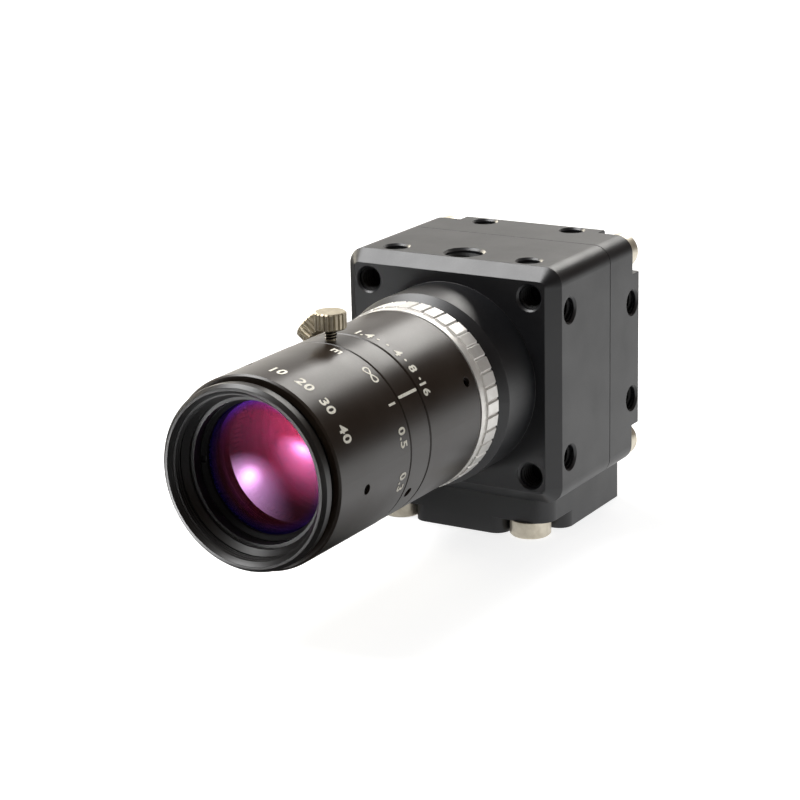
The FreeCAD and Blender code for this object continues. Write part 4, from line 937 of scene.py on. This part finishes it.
class Finish(Enum):
    """Every finish on the camera."""

    HOUSING = AnodisedFinish("black_anodised_housing")
    BARREL = AnodisedFinish(
        "black_anodised_barrel", colour=(31, 23, 16), roughness=0.33, specular=0.6, lathe=True, edge_width=0.1
    )
    CAVITY = AnodisedFinish(
        "matt_black_inside", colour=(12, 12, 13), edge_wear_and_highlight_colour=(26, 26, 28), roughness=0.62, specular=0.22,
        dust=0.0, lathe=True,
    )
    # The mouth radius paints shade inside the lens mouth; the filter thread takes this finish too.
    FRONT_CELL = AnodisedFinish(
        "black_anodised_front_cell", colour=(22, 20, 19), roughness=0.33, specular=0.6, lathe=True,
        edge_width=0.1, mouth_radius=13.3,
    )
    # Painted shade: the tapped threads are darker and duller than the housing's anodising, as they lie in the shade of
    # their holes.
    THREAD = AnodisedFinish(
        "tapped_thread_painted_shade", colour=(11, 11, 11), edge_wear_and_highlight_colour=(24, 24, 24), roughness=0.55, specular=0.28,
        dust=0.0, edge_gain=0.5,
    )
    SILVER = MetalFinish("satin_aluminium_ring", (244, 242, 238), (234, 231, 226), 0.42, metallic=0.68)
    NICKEL = MetalFinish("nickel_plated_brass", (194, 184, 162), (170, 160, 138), 0.42, metallic=0.7)
    STEEL = MetalFinish("stainless_steel", (232, 224, 206), (212, 203, 184), 0.36, metallic=0.7)
    DARK_STEEL = MetalFinish("blackened_steel", (58, 54, 50), (38, 36, 34), 0.36)
    BLADE = MetalFinish("blackened_blade", (44, 44, 46), (30, 30, 32), 0.42, lines_per_mm=2.0)
    SOCKET = MetalFinish("tinned_socket_shell", (206, 204, 198), (178, 176, 170), 0.3)
    GOLD = MetalFinish("gold_contacts", (236, 196, 110), (208, 164, 82), 0.22)
    # Painted reflection: the red body colour and the violet-blue rim past 9.6 mm stand in for the coloured reflections
    # of the coatings inside the lens; the lowered transmission lets the red show as a diffuse layer.
    FRONT_GLASS = CoatedGlassFinish(
        "coated_front_glass", (236, 156, 240), 1.62, 0.75, body_tint_and_painted_reflection=(164, 62, 78), transmission=0.9,
        rim_painted_reflection=(88, 74, 240), rim_radius=9.6,
    )
    SECOND_GLASS = CoatedGlassFinish("coated_second_glass", (255, 92, 110), 1.7, 1.0)
    THIRD_GLASS = CoatedGlassFinish("coated_third_glass", (180, 90, 255), 1.66, 1.0)
    REAR_GLASS = CoatedGlassFinish("coated_rear_glass", (150, 120, 255), 1.6, 0.7)
    WINDOW_GLASS = CoatedGlassFinish("sensor_window_glass", (190, 225, 255), 1.5, 0.5)
    FILTER_GLASS = CoatedGlassFinish("heat_filter_glass", (255, 120, 120), 1.52, 0.6, body_tint_and_painted_reflection=(205, 236, 232))
    BOARD = BoardFinish()
    CHIP = PlasticFinish("chip_packages")
    CERAMIC = PlasticFinish("ceramic_package", (124, 122, 128), (146, 144, 148), 0.45)
    INSERT = PlasticFinish("socket_inserts", (20, 20, 21), (30, 30, 31), 0.42)
    PAINT = PaintFinish("marking_paint")
    LIGHT = StatusLightFinish()


class Paintbox:
    """Makes each finish's material once, when it is first asked for."""

    def __init__(self) -> None:
        """Starts with nothing made."""
        self.made: dict[Finish, bpy.types.Material] = {}

    def get(self, finish: Finish) -> bpy.types.Material:
        """Finds or makes the material of a finish.

        Args:
            finish: the finish.

        Returns:
            Its material.
        """
        if finish not in self.made:
            self.made[finish] = finish.value.build()
        return self.made[finish]

    def dress(self, finish: Finish, *nodes: str) -> None:
        """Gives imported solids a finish.

        Args:
            finish: the finish.
            nodes: names of the solids.
        """
        for name in nodes:
            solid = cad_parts[name]
            solid.data.materials.clear()
            solid.data.materials.append(self.get(finish))


PAINTBOX = Paintbox()


# ---------------------------------------------------------------- sub-assemblies
@dataclass
class Housing:
    """Front case, rear cover and their tapped holes."""

    m4: ScrewThread = ScrewThread(root=2.0, crest=1.62, pitch=0.7, length=3.6)
    m4_short: ScrewThread = ScrewThread(root=2.0, crest=1.62, pitch=0.7, length=1.6)
    tripod: ScrewThread = ScrewThread(root=3.175, crest=2.6, pitch=1.27, length=4.2)
    half: float = 20.0
    front_pitch: float = 30.2
    side_front_pitch: float = 25.0
    side_front_y: float = 5.0
    side_rear_pitch: float = 17.0
    side_rear_y: float = 28.6
    tripod_y: float = 5.9
    sink: float = 0.75

    def holes(self) -> list[tuple[str, ScrewThread, Side, tuple[float, float, float]]]:
        """Lists every tapped hole.

        Returns:
            Name, thread, side and mouth of each, its mouth in mm from the lens axis and the
            front face.
        """
        half = self.front_pitch / 2
        spots = ((1, 1), (1, -1), (-1, 1), (-1, -1))
        found = [
            (f"front_thread_{number}", self.m4, Side.FRONT, (i * half, 0.0, j * half))
            for number, (i, j) in enumerate(spots, start=1)
        ]
        rows = (
            ("front", self.side_front_pitch / 2, self.side_front_y, self.m4_short),
            ("rear", self.side_rear_pitch / 2, self.side_rear_y, self.m4),
        )
        for label, half, y, thread in rows:
            for sign, word in ((1, "upper"), (-1, "lower")):
                found.append((f"right_{label}_{word}_thread", thread, Side.RIGHT, (self.half, y, sign * half)))
                found.append((f"left_{label}_{word}_thread", thread, Side.LEFT, (-self.half, y, sign * half)))
            for sign, word in ((1, "right"), (-1, "left")):
                found.append((f"top_{label}_{word}_thread", thread, Side.TOP, (sign * half, y, self.half)))
        found.append(("top_tripod_thread", self.tripod, Side.TOP, (0.0, self.tripod_y, self.half)))
        return found

    def build(self, paintbox: Paintbox) -> list[bpy.types.Object]:
        """Dresses the housing and cuts its threads.

        Args:
            paintbox: where the materials come from.

        Returns:
            The new pieces.
        """
        paintbox.dress(Finish.HOUSING, "front_case", "rear_cover")
        paintbox.dress(Finish.STEEL, "cover_screws")
        # The threads take the darker finish that paints the shade in the holes.
        finish = paintbox.get(Finish.THREAD)
        made = []
        for name, thread, side, mouth in self.holes():
            inward = np.array(side.value, float)
            start = DATUM.point(*mouth) + inward * self.sink * MM
            made.append(thread.build(name, start, inward, finish, "housing", "black_anodised"))
        return made


@dataclass
class MountingBase:
    """The foot with its tripod thread and low-head screws."""

    tripod: ScrewThread = ScrewThread(root=3.175, crest=2.6, pitch=1.27, length=4.0)
    sink: float = 0.8

    def build(self, paintbox: Paintbox) -> list[bpy.types.Object]:
        """Dresses the base and cuts its tripod thread.

        Args:
            paintbox: where the materials come from.

        Returns:
            The new pieces.
        """
        paintbox.dress(Finish.HOUSING, "mounting_base")
        paintbox.dress(Finish.STEEL, "base_screws")
        finish = paintbox.get(Finish.HOUSING)
        inward = np.array(Side.FOOT.value, float)
        mouth = inward * self.sink * MM
        return [self.tripod.build("base_tripod_thread", mouth, inward, finish, "housing", "black_anodised")]


@dataclass
class Electronics:
    """Boards, sensor, filter and rear sockets."""

    def build(self, paintbox: Paintbox) -> list[bpy.types.Object]:
        """Dresses the boards and sockets; nothing is added.

        Args:
            paintbox: where the materials come from.

        Returns:
            The new pieces.
        """
        paintbox.dress(Finish.BOARD, "sensor_board", "processor_board", "interface_board")
        paintbox.dress(Finish.CERAMIC, "image_sensor")
        paintbox.dress(Finish.WINDOW_GLASS, "sensor_glass")
        paintbox.dress(Finish.FILTER_GLASS, "ir_filter")
        paintbox.dress(Finish.CAVITY, "filter_ring")
        paintbox.dress(Finish.NICKEL, "front_standoffs", "rear_standoffs")
        paintbox.dress(Finish.STEEL, "board_screws", "jack_screws")
        paintbox.dress(Finish.INSERT, "board_connector_front", "board_connector_rear")
        paintbox.dress(Finish.INSERT, "data_socket_insert", "io_socket_insert")
        paintbox.dress(Finish.CHIP, "processor_chips")
        paintbox.dress(Finish.SOCKET, "data_socket_shell", "io_socket_shell")
        paintbox.dress(Finish.GOLD, "io_pins")
        paintbox.dress(Finish.LIGHT, "status_light")
        return []


@dataclass
class LockScrew:
    """A knurled lock screw: its head is a solid, its visible thread is added."""

    name: str
    node: str
    body: str
    angle: float
    y: float
    barrel: float = 15.0
    gap: float = 0.15
    thread: ScrewThread = ScrewThread(root=0.8, crest=1.0, pitch=0.42, length=1.5, per_turn=24)

    def build(self, paintbox: Paintbox) -> list[bpy.types.Object]:
        """Dresses the screw and adds the thread between head and barrel.

        Args:
            paintbox: where the materials come from.

        Returns:
            The new pieces.
        """
        paintbox.dress(Finish.NICKEL, self.node)
        turn = np.radians(self.angle)
        outward = np.array([np.cos(turn), 0.0, np.sin(turn)])
        start = DATUM.point(0.0, self.y, 0.0) + outward * (self.barrel + self.gap) * MM
        finish = paintbox.get(Finish.DARK_STEEL)
        return [self.thread.build(self.name + "_thread", start, outward, finish, self.body, "nickel_brass")]


@dataclass
class ScaleMarks:
    """Painted numerals, dots and the index line on the rings."""

    focus_y: float = -40.1
    focus_radius: float = 15.05
    iris_y: float = -30.15
    iris_radius: float = 15.0
    dial_y: float = -54.0
    height: float = 1.7
    dial_height: float = 1.9
    dot: float = 0.48
    dot_rings: int = 4
    dot_sides: int = 16
    line_width: float = 0.5
    line_points: int = 32
    line_corners: tuple[float, float] = (0.35, 0.12)
    far_size: tuple[float, float] = (1.45, 0.62)
    far_points: int = 48
    far_band: float = 0.3
    focus_scale: tuple[tuple[str, float], ...] = (("m", 76.3), ("1", 30.2), ("0.5", 10.1), ("0.3", -17.0))
    far_mark: float = 51.2
    iris_scale: tuple[tuple[str, float], ...] = (("1.4", 80.4), ("4", 56.5), ("8", 43.6), ("16", 29.5))
    iris_dots: tuple[float, ...] = (71.2, 64.3, 50.1, 36.3)
    dial_scale: tuple[tuple[str, float], ...] = (("10", 81.0), ("20", 63.0), ("30", 45.0), ("40", 27.0))
    index_angle: float = 31.8
    index_span: tuple[float, float] = (-37.75, -32.5)

    def _numeral(self, name: str, text: str, mark: RingMark, body: str, paint: bpy.types.Material) -> bpy.types.Object:
        """One painted numeral on a ring.

        Args:
            name: the piece's name.
            text: the numeral.
            mark: its place on the ring.
            body: the body it rides on.
            paint: the paint.

        Returns:
            The piece.
        """
        points, faces = numeral_mesh(text, self.dial_height if mark.y == self.dial_y else self.height)
        return self._put(name, mark.wrap(points), faces, body, paint)

    @staticmethod
    def _put(
        name: str, points: np.ndarray, faces: list[list[int]], body: str, paint: bpy.types.Material
    ) -> bpy.types.Object:
        """Puts painted faces of any number of sides into the scene.

        Args:
            name: the piece's name.
            points: points in metres, in the row frame.
            faces: point numbers of each face.
            body: the body it rides on.
            paint: the paint.

        Returns:
            The piece.
        """
        mesh = bpy.data.meshes.new(name)
        mesh.from_pydata(points.tolist(), [], faces)
        work = bmesh.new()
        work.from_mesh(mesh)
        bmesh.ops.remove_doubles(work, verts=work.verts, dist=1e-8)
        bmesh.ops.recalc_face_normals(work, faces=work.faces)
        bmesh.ops.triangulate(work, faces=work.faces)
        work.to_mesh(mesh)
        work.free()
        return place_piece(mesh, paint, body)

    def _far_sign(self, paint: bpy.types.Material) -> bpy.types.Object:
        """The lying figure eight: x = a cos t, y = b sin 2t, as a band.

        Args:
            paint: the paint.

        Returns:
            The piece.
        """
        t = np.linspace(0.0, 2 * np.pi, self.far_points, endpoint=False)
        wide, high = self.far_size
        points, faces = ribbon_mesh(np.stack([wide * np.cos(t), high * np.sin(2 * t)], -1), self.far_band)
        mark = RingMark(self.far_mark, self.focus_y, self.focus_radius)
        return self._put("focus_scale_far", mark.wrap(points), faces, "focus_group", paint)

    def _dot(self, name: str, mark: RingMark, body: str, paint: bpy.types.Material) -> bpy.types.Object:
        """A round dot: a low dome of rings, r = R cos s and height = h sin s.

        Args:
            name: the piece's name.
            mark: its place on the ring.
            body: the body it rides on.
            paint: the paint.

        Returns:
            The piece.
        """
        s = np.linspace(0.0, np.pi / 2, self.dot_rings)[:, None]
        t = np.linspace(0.0, 2 * np.pi, self.dot_sides, endpoint=False)[None, :]
        across = self.dot / 2 * np.cos(s)
        dome = np.stack([across * np.cos(t), across * np.sin(t), PAINT_HALF * np.sin(s) * np.ones_like(t)], -1)
        faces = grid_faces(self.dot_rings, self.dot_sides, True).tolist() + [list(range(self.dot_sides))]
        return self._put(name, mark.wrap(dome.reshape(-1, 3)), faces, body, paint)

    def _index_line(self, paint: bpy.types.Material) -> bpy.types.Object:
        """The index line: a straight bar along the axis with rounded corners.

        Its rim is x = a |cos t|^p and y = b |sin t|^q, with the signs of cos t and sin t.

        Args:
            paint: the paint.

        Returns:
            The piece.
        """
        count = self.line_points
        t = np.linspace(0.0, 2 * np.pi, count, endpoint=False)
        half = np.array([self.line_width, self.index_span[1] - self.index_span[0]]) / 2
        wave = np.stack([np.cos(t), np.sin(t)], -1)
        rim = half * np.sign(wave) * np.abs(wave) ** np.array(self.line_corners)
        low = np.hstack([rim, np.full((count, 1), -PAINT_HALF)])
        high = np.hstack([rim, np.full((count, 1), PAINT_HALF)])
        ends = [list(range(count)), list(range(count, 2 * count))]
        faces = grid_faces(2, count, True).tolist() + ends
        mark = RingMark(self.index_angle, sum(self.index_span) / 2, self.iris_radius)
        return self._put("index_line", mark.wrap(np.vstack([low, high])), faces, "housing", paint)

    def build(self, paintbox: Paintbox) -> list[bpy.types.Object]:
        """Paints every scale.

        Args:
            paintbox: where the materials come from.

        Returns:
            The new pieces.
        """
        paint = paintbox.get(Finish.PAINT)
        made = []
        rows = (
            ("focus_scale", self.focus_scale, self.focus_y, self.focus_radius, "focus_group"),
            ("ring_numeral", self.dial_scale, self.dial_y, self.focus_radius, "focus_group"),
            ("iris_scale", self.iris_scale, self.iris_y, self.iris_radius, "iris_group"),
        )
        for label, scale, y, radius, body in rows:
            for number, (text, angle) in enumerate(scale, start=1):
                mark = RingMark(angle, y, radius)
                made.append(self._numeral(f"{label}_{number}", text, mark, body, paint))
        for number, angle in enumerate(self.iris_dots, start=1):
            mark = RingMark(angle, self.iris_y, self.iris_radius)
            made.append(self._dot(f"iris_dot_{number}", mark, "iris_group", paint))
        made.append(self._far_sign(paint))
        made.append(self._index_line(paint))
        return made


@dataclass
class LensBarrel:
    """Mount ring, rings, glass and the filter thread in the lens mouth."""

    filter_thread: ScrewThread = ScrewThread(root=12.75, crest=12.45, pitch=0.5, length=1.6, per_turn=96)
    filter_y: float = -60.5
    lock_screws: list[LockScrew] = field(
        default_factory=lambda: [
            LockScrew("focus_lock", "focus_lock_screw", "focus_lock", 90.0, -36.0),
            LockScrew("iris_lock", "iris_lock_screw", "iris_lock", 142.3, -18.8),
        ]
    )
    marks: ScaleMarks = field(default_factory=ScaleMarks)
    optics: tuple[tuple[Optic, Finish], ...] = (
        (Optic("front_element", 11.1, -54.2, -51.6, 1.2, 0.0, 11.1, 11.1), Finish.FRONT_GLASS),
        (Optic("second_element", 10.2, -46.5, -42.4, -0.9, 0.9, 9.5, 9.3), Finish.SECOND_GLASS),
        (Optic("third_element", 10.2, -40.2, -35.5, 1.1, 0.4, 9.3, 9.2), Finish.THIRD_GLASS),
    )

    def build(self, paintbox: Paintbox) -> list[bpy.types.Object]:
        """Dresses the lens and adds its thread, screws' threads and marks.

        Args:
            paintbox: where the materials come from.

        Returns:
            The new pieces.
        """
        paintbox.dress(Finish.SILVER, "lens_mount_ring")
        paintbox.dress(Finish.BARREL, "focus_ring", "iris_ring", "index_ring")
        paintbox.dress(
            Finish.CAVITY, "main_barrel", "iris_base", "rear_cell", "rear_spacer", "rear_retaining_ring",
            "cell_spacer", "inner_spacer", "cam_ring", "front_retaining_ring",
        )
        paintbox.dress(Finish.FRONT_CELL, "front_cell")
        paintbox.dress(Finish.STEEL, "cell_guide_pin", "iris_drive_pin")
        paintbox.dress(Finish.DARK_STEEL, "focus_set_screws", "iris_set_screws")
        paintbox.dress(Finish.BLADE, *[f"iris_blade_{k}" for k in range(1, 7)])
        paintbox.dress(Finish.REAR_GLASS, "rear_element_1", "rear_element_2")
        made = []
        mouth = DATUM.point(0.0, self.filter_y, 0.0)
        inward = np.array([0.0, 1.0, 0.0])
        finish = paintbox.get(Finish.FRONT_CELL)
        made.append(self.filter_thread.build("filter_thread", mouth, inward, finish, "front_group", "black_anodised"))
        for optic, glass in self.optics:
            made.append(optic.build(paintbox.get(glass), "front_group"))
        for screw in self.lock_screws:
            made += screw.build(paintbox)
        return made + self.marks.build(paintbox)


# ---------------------------------------------------------------- studio
@dataclass(frozen=True)
class Softbox:
    """A rectangular lamp: where it stands and what it looks at, in metres."""

    name: str
    place: tuple[float, float, float]
    target: tuple[float, float, float]
    size: tuple[float, float]
    watts: float
    colour: Colour = (255, 255, 255)

    def build(self) -> bpy.types.Object:
        """Makes the lamp.

        Returns:
            The lamp.
        """
        light = bpy.data.lights.new(self.name, "AREA")
        light.shape = "RECTANGLE"
        light.size, light.size_y = self.size
        light.energy = self.watts
        light.color = linear(*self.colour)[:3]
        lamp = bpy.data.objects.new(self.name, light)
        bpy.context.scene.collection.objects.link(lamp)
        lamp.location = self.place
        aim = Vector(self.target) - Vector(self.place)
        lamp.rotation_euler = aim.to_track_quat("-Z", "Y").to_euler()
        return lamp


@dataclass(frozen=True)
class Card:
    """A soft bright oval on the floor that only reflections and rays through glass see.

    Its middle and half sizes are in metres and its long side is turned in degrees; outer is
    its level in a first reflection, inner its level through glass.
    """

    middle: tuple[float, float]
    half: tuple[float, float]
    turn: float
    outer: float
    inner: float

    def level(self, wires: Wires, place: Socket, through: Socket) -> Socket:
        """How bright each place is.

        Args:
            wires: the tree being made.
            place: position on the floor.
            through: 1 for rays that came through glass, and 0 for others.

        Returns:
            The card's level in the middle, falling off as a square to 0 at the oval's rim.
        """
        fit = {
            "Vector": place,
            "Location": (*self.middle, 0.0),
            "Rotation": (0.0, 0.0, np.radians(self.turn)),
            "Scale": (*self.half, 1.0),
        }
        apart = wires.length(wires.add("Mapping", fit, vector_type="TEXTURE").outputs[0])
        shape = wires.math("POWER", wires.spread(apart, 0.0, 1.0, 1.0, 0.0), 2.0)
        return wires.math("MULTIPLY", shape, wires.spread(through, 0.0, 1.0, self.outer, self.inner))


@dataclass
class Studio:
    """Pale floor, pale surroundings and soft lamps.

    The floor's tones in reflections change along y + lean * x, from where it is dark to where
    it is pale, and with the distance from the origin. Each reach is a pair of places in metres,
    and each pair of levels belongs to them in turn. A backdrop's edge is a pair of direction
    components between which it fades in.
    """

    floor_half: float = 3.0
    floor_drop: float = 0.00005
    floor_rows: int = 49
    paper: tuple[float, float] = (0.5, 0.48)
    paper_per_mm: float = 0.01
    lean: float = 0.9
    near_reach: tuple[float, float] = (-0.045, 0.003)
    near_levels: tuple[float, float] = (0.02, 0.94)
    shadow_levels: tuple[float, float] = (0.06, 0.5)
    fall_reach: tuple[float, float] = (0.22, 0.55)
    fall_levels: tuple[float, float] = (1.0, 0.3)
    far_reach: tuple[float, float] = (-0.15, -0.30)
    far_levels: tuple[float, float] = (0.0, 0.10)
    white_reach: tuple[float, float] = (0.3, 1.2)
    white_levels: tuple[float, float] = (0.8, 1.0)
    backdrop_edges: tuple[tuple[str, float, float], ...] = (("Y", 0.0, 0.6), ("Z", 0.62, 0.28), ("X", 0.20, -0.20))
    backdrop: Shade = (1.25, 1.22, 1.16, 1.0)
    room: Shade = (0.075, 0.052, 0.040, 1.0)
    fill: float = 0.3
    cards: tuple[Card, ...] = (
        Card((-0.0470, -0.118), (0.066, 0.0280), 59.0, 20.0, 26.0),
        Card((-0.0480, -0.124), (0.026, 0.0110), 59.0, 34.0, 20.0),
        Card((-0.0500, -0.246), (0.170, 0.0440), 66.0, 18.0, 15.0),
        Card((-0.0490, -0.242), (0.080, 0.0210), 66.0, 34.0, 12.0),
    )
    lamps: tuple[Softbox, ...] = (
        Softbox("top_softbox", (-0.26, -0.12, 0.50), (0.0, -0.01, 0.03), (0.34, 0.30), 4.0),
        Softbox("back_softbox", (-0.06, 0.60, 0.44), (0.0, -0.03, 0.03), (0.34, 0.14), 1.5, (252, 250, 246)),
        Softbox("left_softbox", (-0.60, 0.30, 0.26), (0.0, -0.03, 0.03), (0.30, 0.34), 3.2, (255, 246, 226)),
        Softbox("right_fill", (0.62, 0.10, 0.12), (0.0, 0.0, 0.02), (0.20, 0.30), 0.4),
    )

    def _floor(self) -> bpy.types.Object:
        """Makes the floor: a flat grid of points, x across and y along.

        Returns:
            The floor.
        """
        s = np.linspace(-self.floor_half, self.floor_half, self.floor_rows)
        x, y = np.meshgrid(s, s, indexing="xy")
        points = np.stack([x, y, np.full_like(x, -self.floor_drop)], -1)
        faces = grid_faces(self.floor_rows, self.floor_rows, False)
        mesh = bpy.data.meshes.new("floor")
        mesh.from_pydata(points.reshape(-1, 3).tolist(), [], faces.tolist())
        floor = bpy.data.objects.new("floor", mesh)
        bpy.context.scene.collection.objects.link(floor)
        mesh.materials.append(self._floor_material())
        return floor

    @staticmethod
    def _turned(wires: Wires, path: bpy.types.Node) -> Socket:
        """1 for rays that were mirrored or came through glass, from a Light Path node."""
        return wires.math("MAXIMUM", path.outputs["Is Glossy Ray"], path.outputs["Is Transmission Ray"])

    def _floor_material(self) -> bpy.types.Material:
        """Makes the floor white to the eye, and keeps the soft shadow.

        Returns:
            The material. In reflections it is dark in front and has the bright cards; from
            below it is clear.
        """
        material = bpy.data.materials.new("pale_floor")
        wires = empty_tree(material)
        tone = wires.spread(wires.noise(self.paper_per_mm), *NOISE_RANGE)
        paper = wires.mix(tone, grey(self.paper[0]), grey(self.paper[1]))
        path = wires.add("LightPath")
        turned = self._turned(wires, path)
        place = wires.add("TexCoord").outputs["Object"]
        parts = wires.add("SeparateXYZ", {0: place}).outputs
        along = wires.math("ADD", parts["Y"], wires.math("MULTIPLY", parts["X"], self.lean))
        away = wires.length(place)
        near = wires.spread(along, *self.near_reach, *self.near_levels)
        near = wires.math("MULTIPLY", near, wires.spread(away, *self.fall_reach, *self.fall_levels))
        seen = wires.math("ADD", near, wires.spread(along, *self.far_reach, *self.far_levels))
        for card in self.cards:
            seen = wires.math("ADD", seen, card.level(wires, place, path.outputs["Is Transmission Ray"]))
        white = wires.spread(away, *self.white_reach, *self.white_levels)
        white = wires.math("MULTIPLY", path.outputs["Is Camera Ray"], white)
        strength = wires.math("ADD", white, wires.math("MULTIPLY", turned, seen))
        kept = wires.spread(along, *self.near_reach, *self.shadow_levels)
        share = wires.math("MAXIMUM", wires.math("SUBTRACT", 1.0, turned), kept)
        lit = wires.add("BsdfDiffuse", {"Color": wires.mix(share, grey(0.0), paper)})
        glow = wires.add("Emission", {"Color": grey(1.0), "Strength": strength})
        both = wires.add("AddShader", {0: lit.outputs[0], 1: glow.outputs[0]})
        clear = wires.add("BsdfTransparent")
        below = wires.add("NewGeometry").outputs["Backfacing"]
        sided = wires.add("MixShader", {0: below, 1: both.outputs[0], 2: clear.outputs[0]})
        wires.add("OutputMaterial", {"Surface": sided.outputs[0]})
        return material

    def _world(self) -> None:
        """White to the eye; in reflections a pale backdrop behind on the left, and a dim warm room."""
        world = bpy.data.worlds.new("studio")
        bpy.context.scene.world = world
        wires = empty_tree(world)
        parts = wires.add("SeparateXYZ", {0: wires.add("TexCoord").outputs["Generated"]}).outputs
        behind, low, leftward = (wires.spread(parts[axis], *edge) for axis, *edge in self.backdrop_edges)
        pale = wires.math("MULTIPLY", wires.math("MULTIPLY", behind, low), leftward)
        path = wires.add("LightPath")
        room = wires.mix(pale, self.room, self.backdrop)
        around = wires.mix(self._turned(wires, path), grey(self.fill), room)
        colour = wires.mix(path.outputs["Is Camera Ray"], around, grey(1.0))
        background = wires.add("Background", {"Color": colour, "Strength": 1.0})
        wires.add("OutputWorld", {"Surface": background.outputs[0]})

    def build(self) -> None:
        """Sets up floor, surroundings and lamps."""
        self._floor()
        self._world()
        for lamp in self.lamps:
            lamp.build()
        bpy.context.scene.view_settings.view_transform = "Standard"


@dataclass(frozen=True)
class Viewpoint:
    """The camera, with place and target in mm from the lens axis and the front face."""

    place: tuple[float, float, float] = (192.462, -337.739, 109.53)
    target: tuple[float, float, float] = (-9.5362, 0.0, -5.209)
    roll: float = -1.2735
    lens: float = 109.42
    sensor: float = 36.0
    nearest: float = 0.01

    def build(self) -> bpy.types.Object:
        """Makes the camera and makes it the scene's own.

        Returns:
            The camera.
        """
        data = bpy.data.cameras.new("view")
        data.lens = self.lens
        data.sensor_width = self.sensor
        data.clip_start = self.nearest
        camera = bpy.data.objects.new("view", data)
        bpy.context.scene.collection.objects.link(camera)
        place = Vector(DATUM.point(*self.place))
        back = (place - Vector(DATUM.point(*self.target))).normalized()
        right = Vector((0, 0, 1)).cross(back).normalized()
        up = back.cross(right)
        turn = np.radians(self.roll)
        across = right * np.cos(turn) + up * np.sin(turn)
        above = up * np.cos(turn) - right * np.sin(turn)
        matrix = Matrix((across, above, back)).transposed().to_4x4()
        matrix.translation = place
        camera.matrix_world = matrix
        bpy.context.scene.camera = camera
        return camera


def main() -> None:
    """Builds the camera's parts in order, then the studio and the view."""
    logging.basicConfig(level=logging.INFO, format="%(message)s")
    for part in (Housing(), MountingBase(), Electronics(), LensBarrel()):
        for piece in part.build(PAINTBOX):
            LOG.info("%s: %s, %d faces", type(part).__name__, piece.name, len(piece.data.polygons))
    Studio().build()
    Viewpoint().build()


if __name__ == "__main__":
    main()
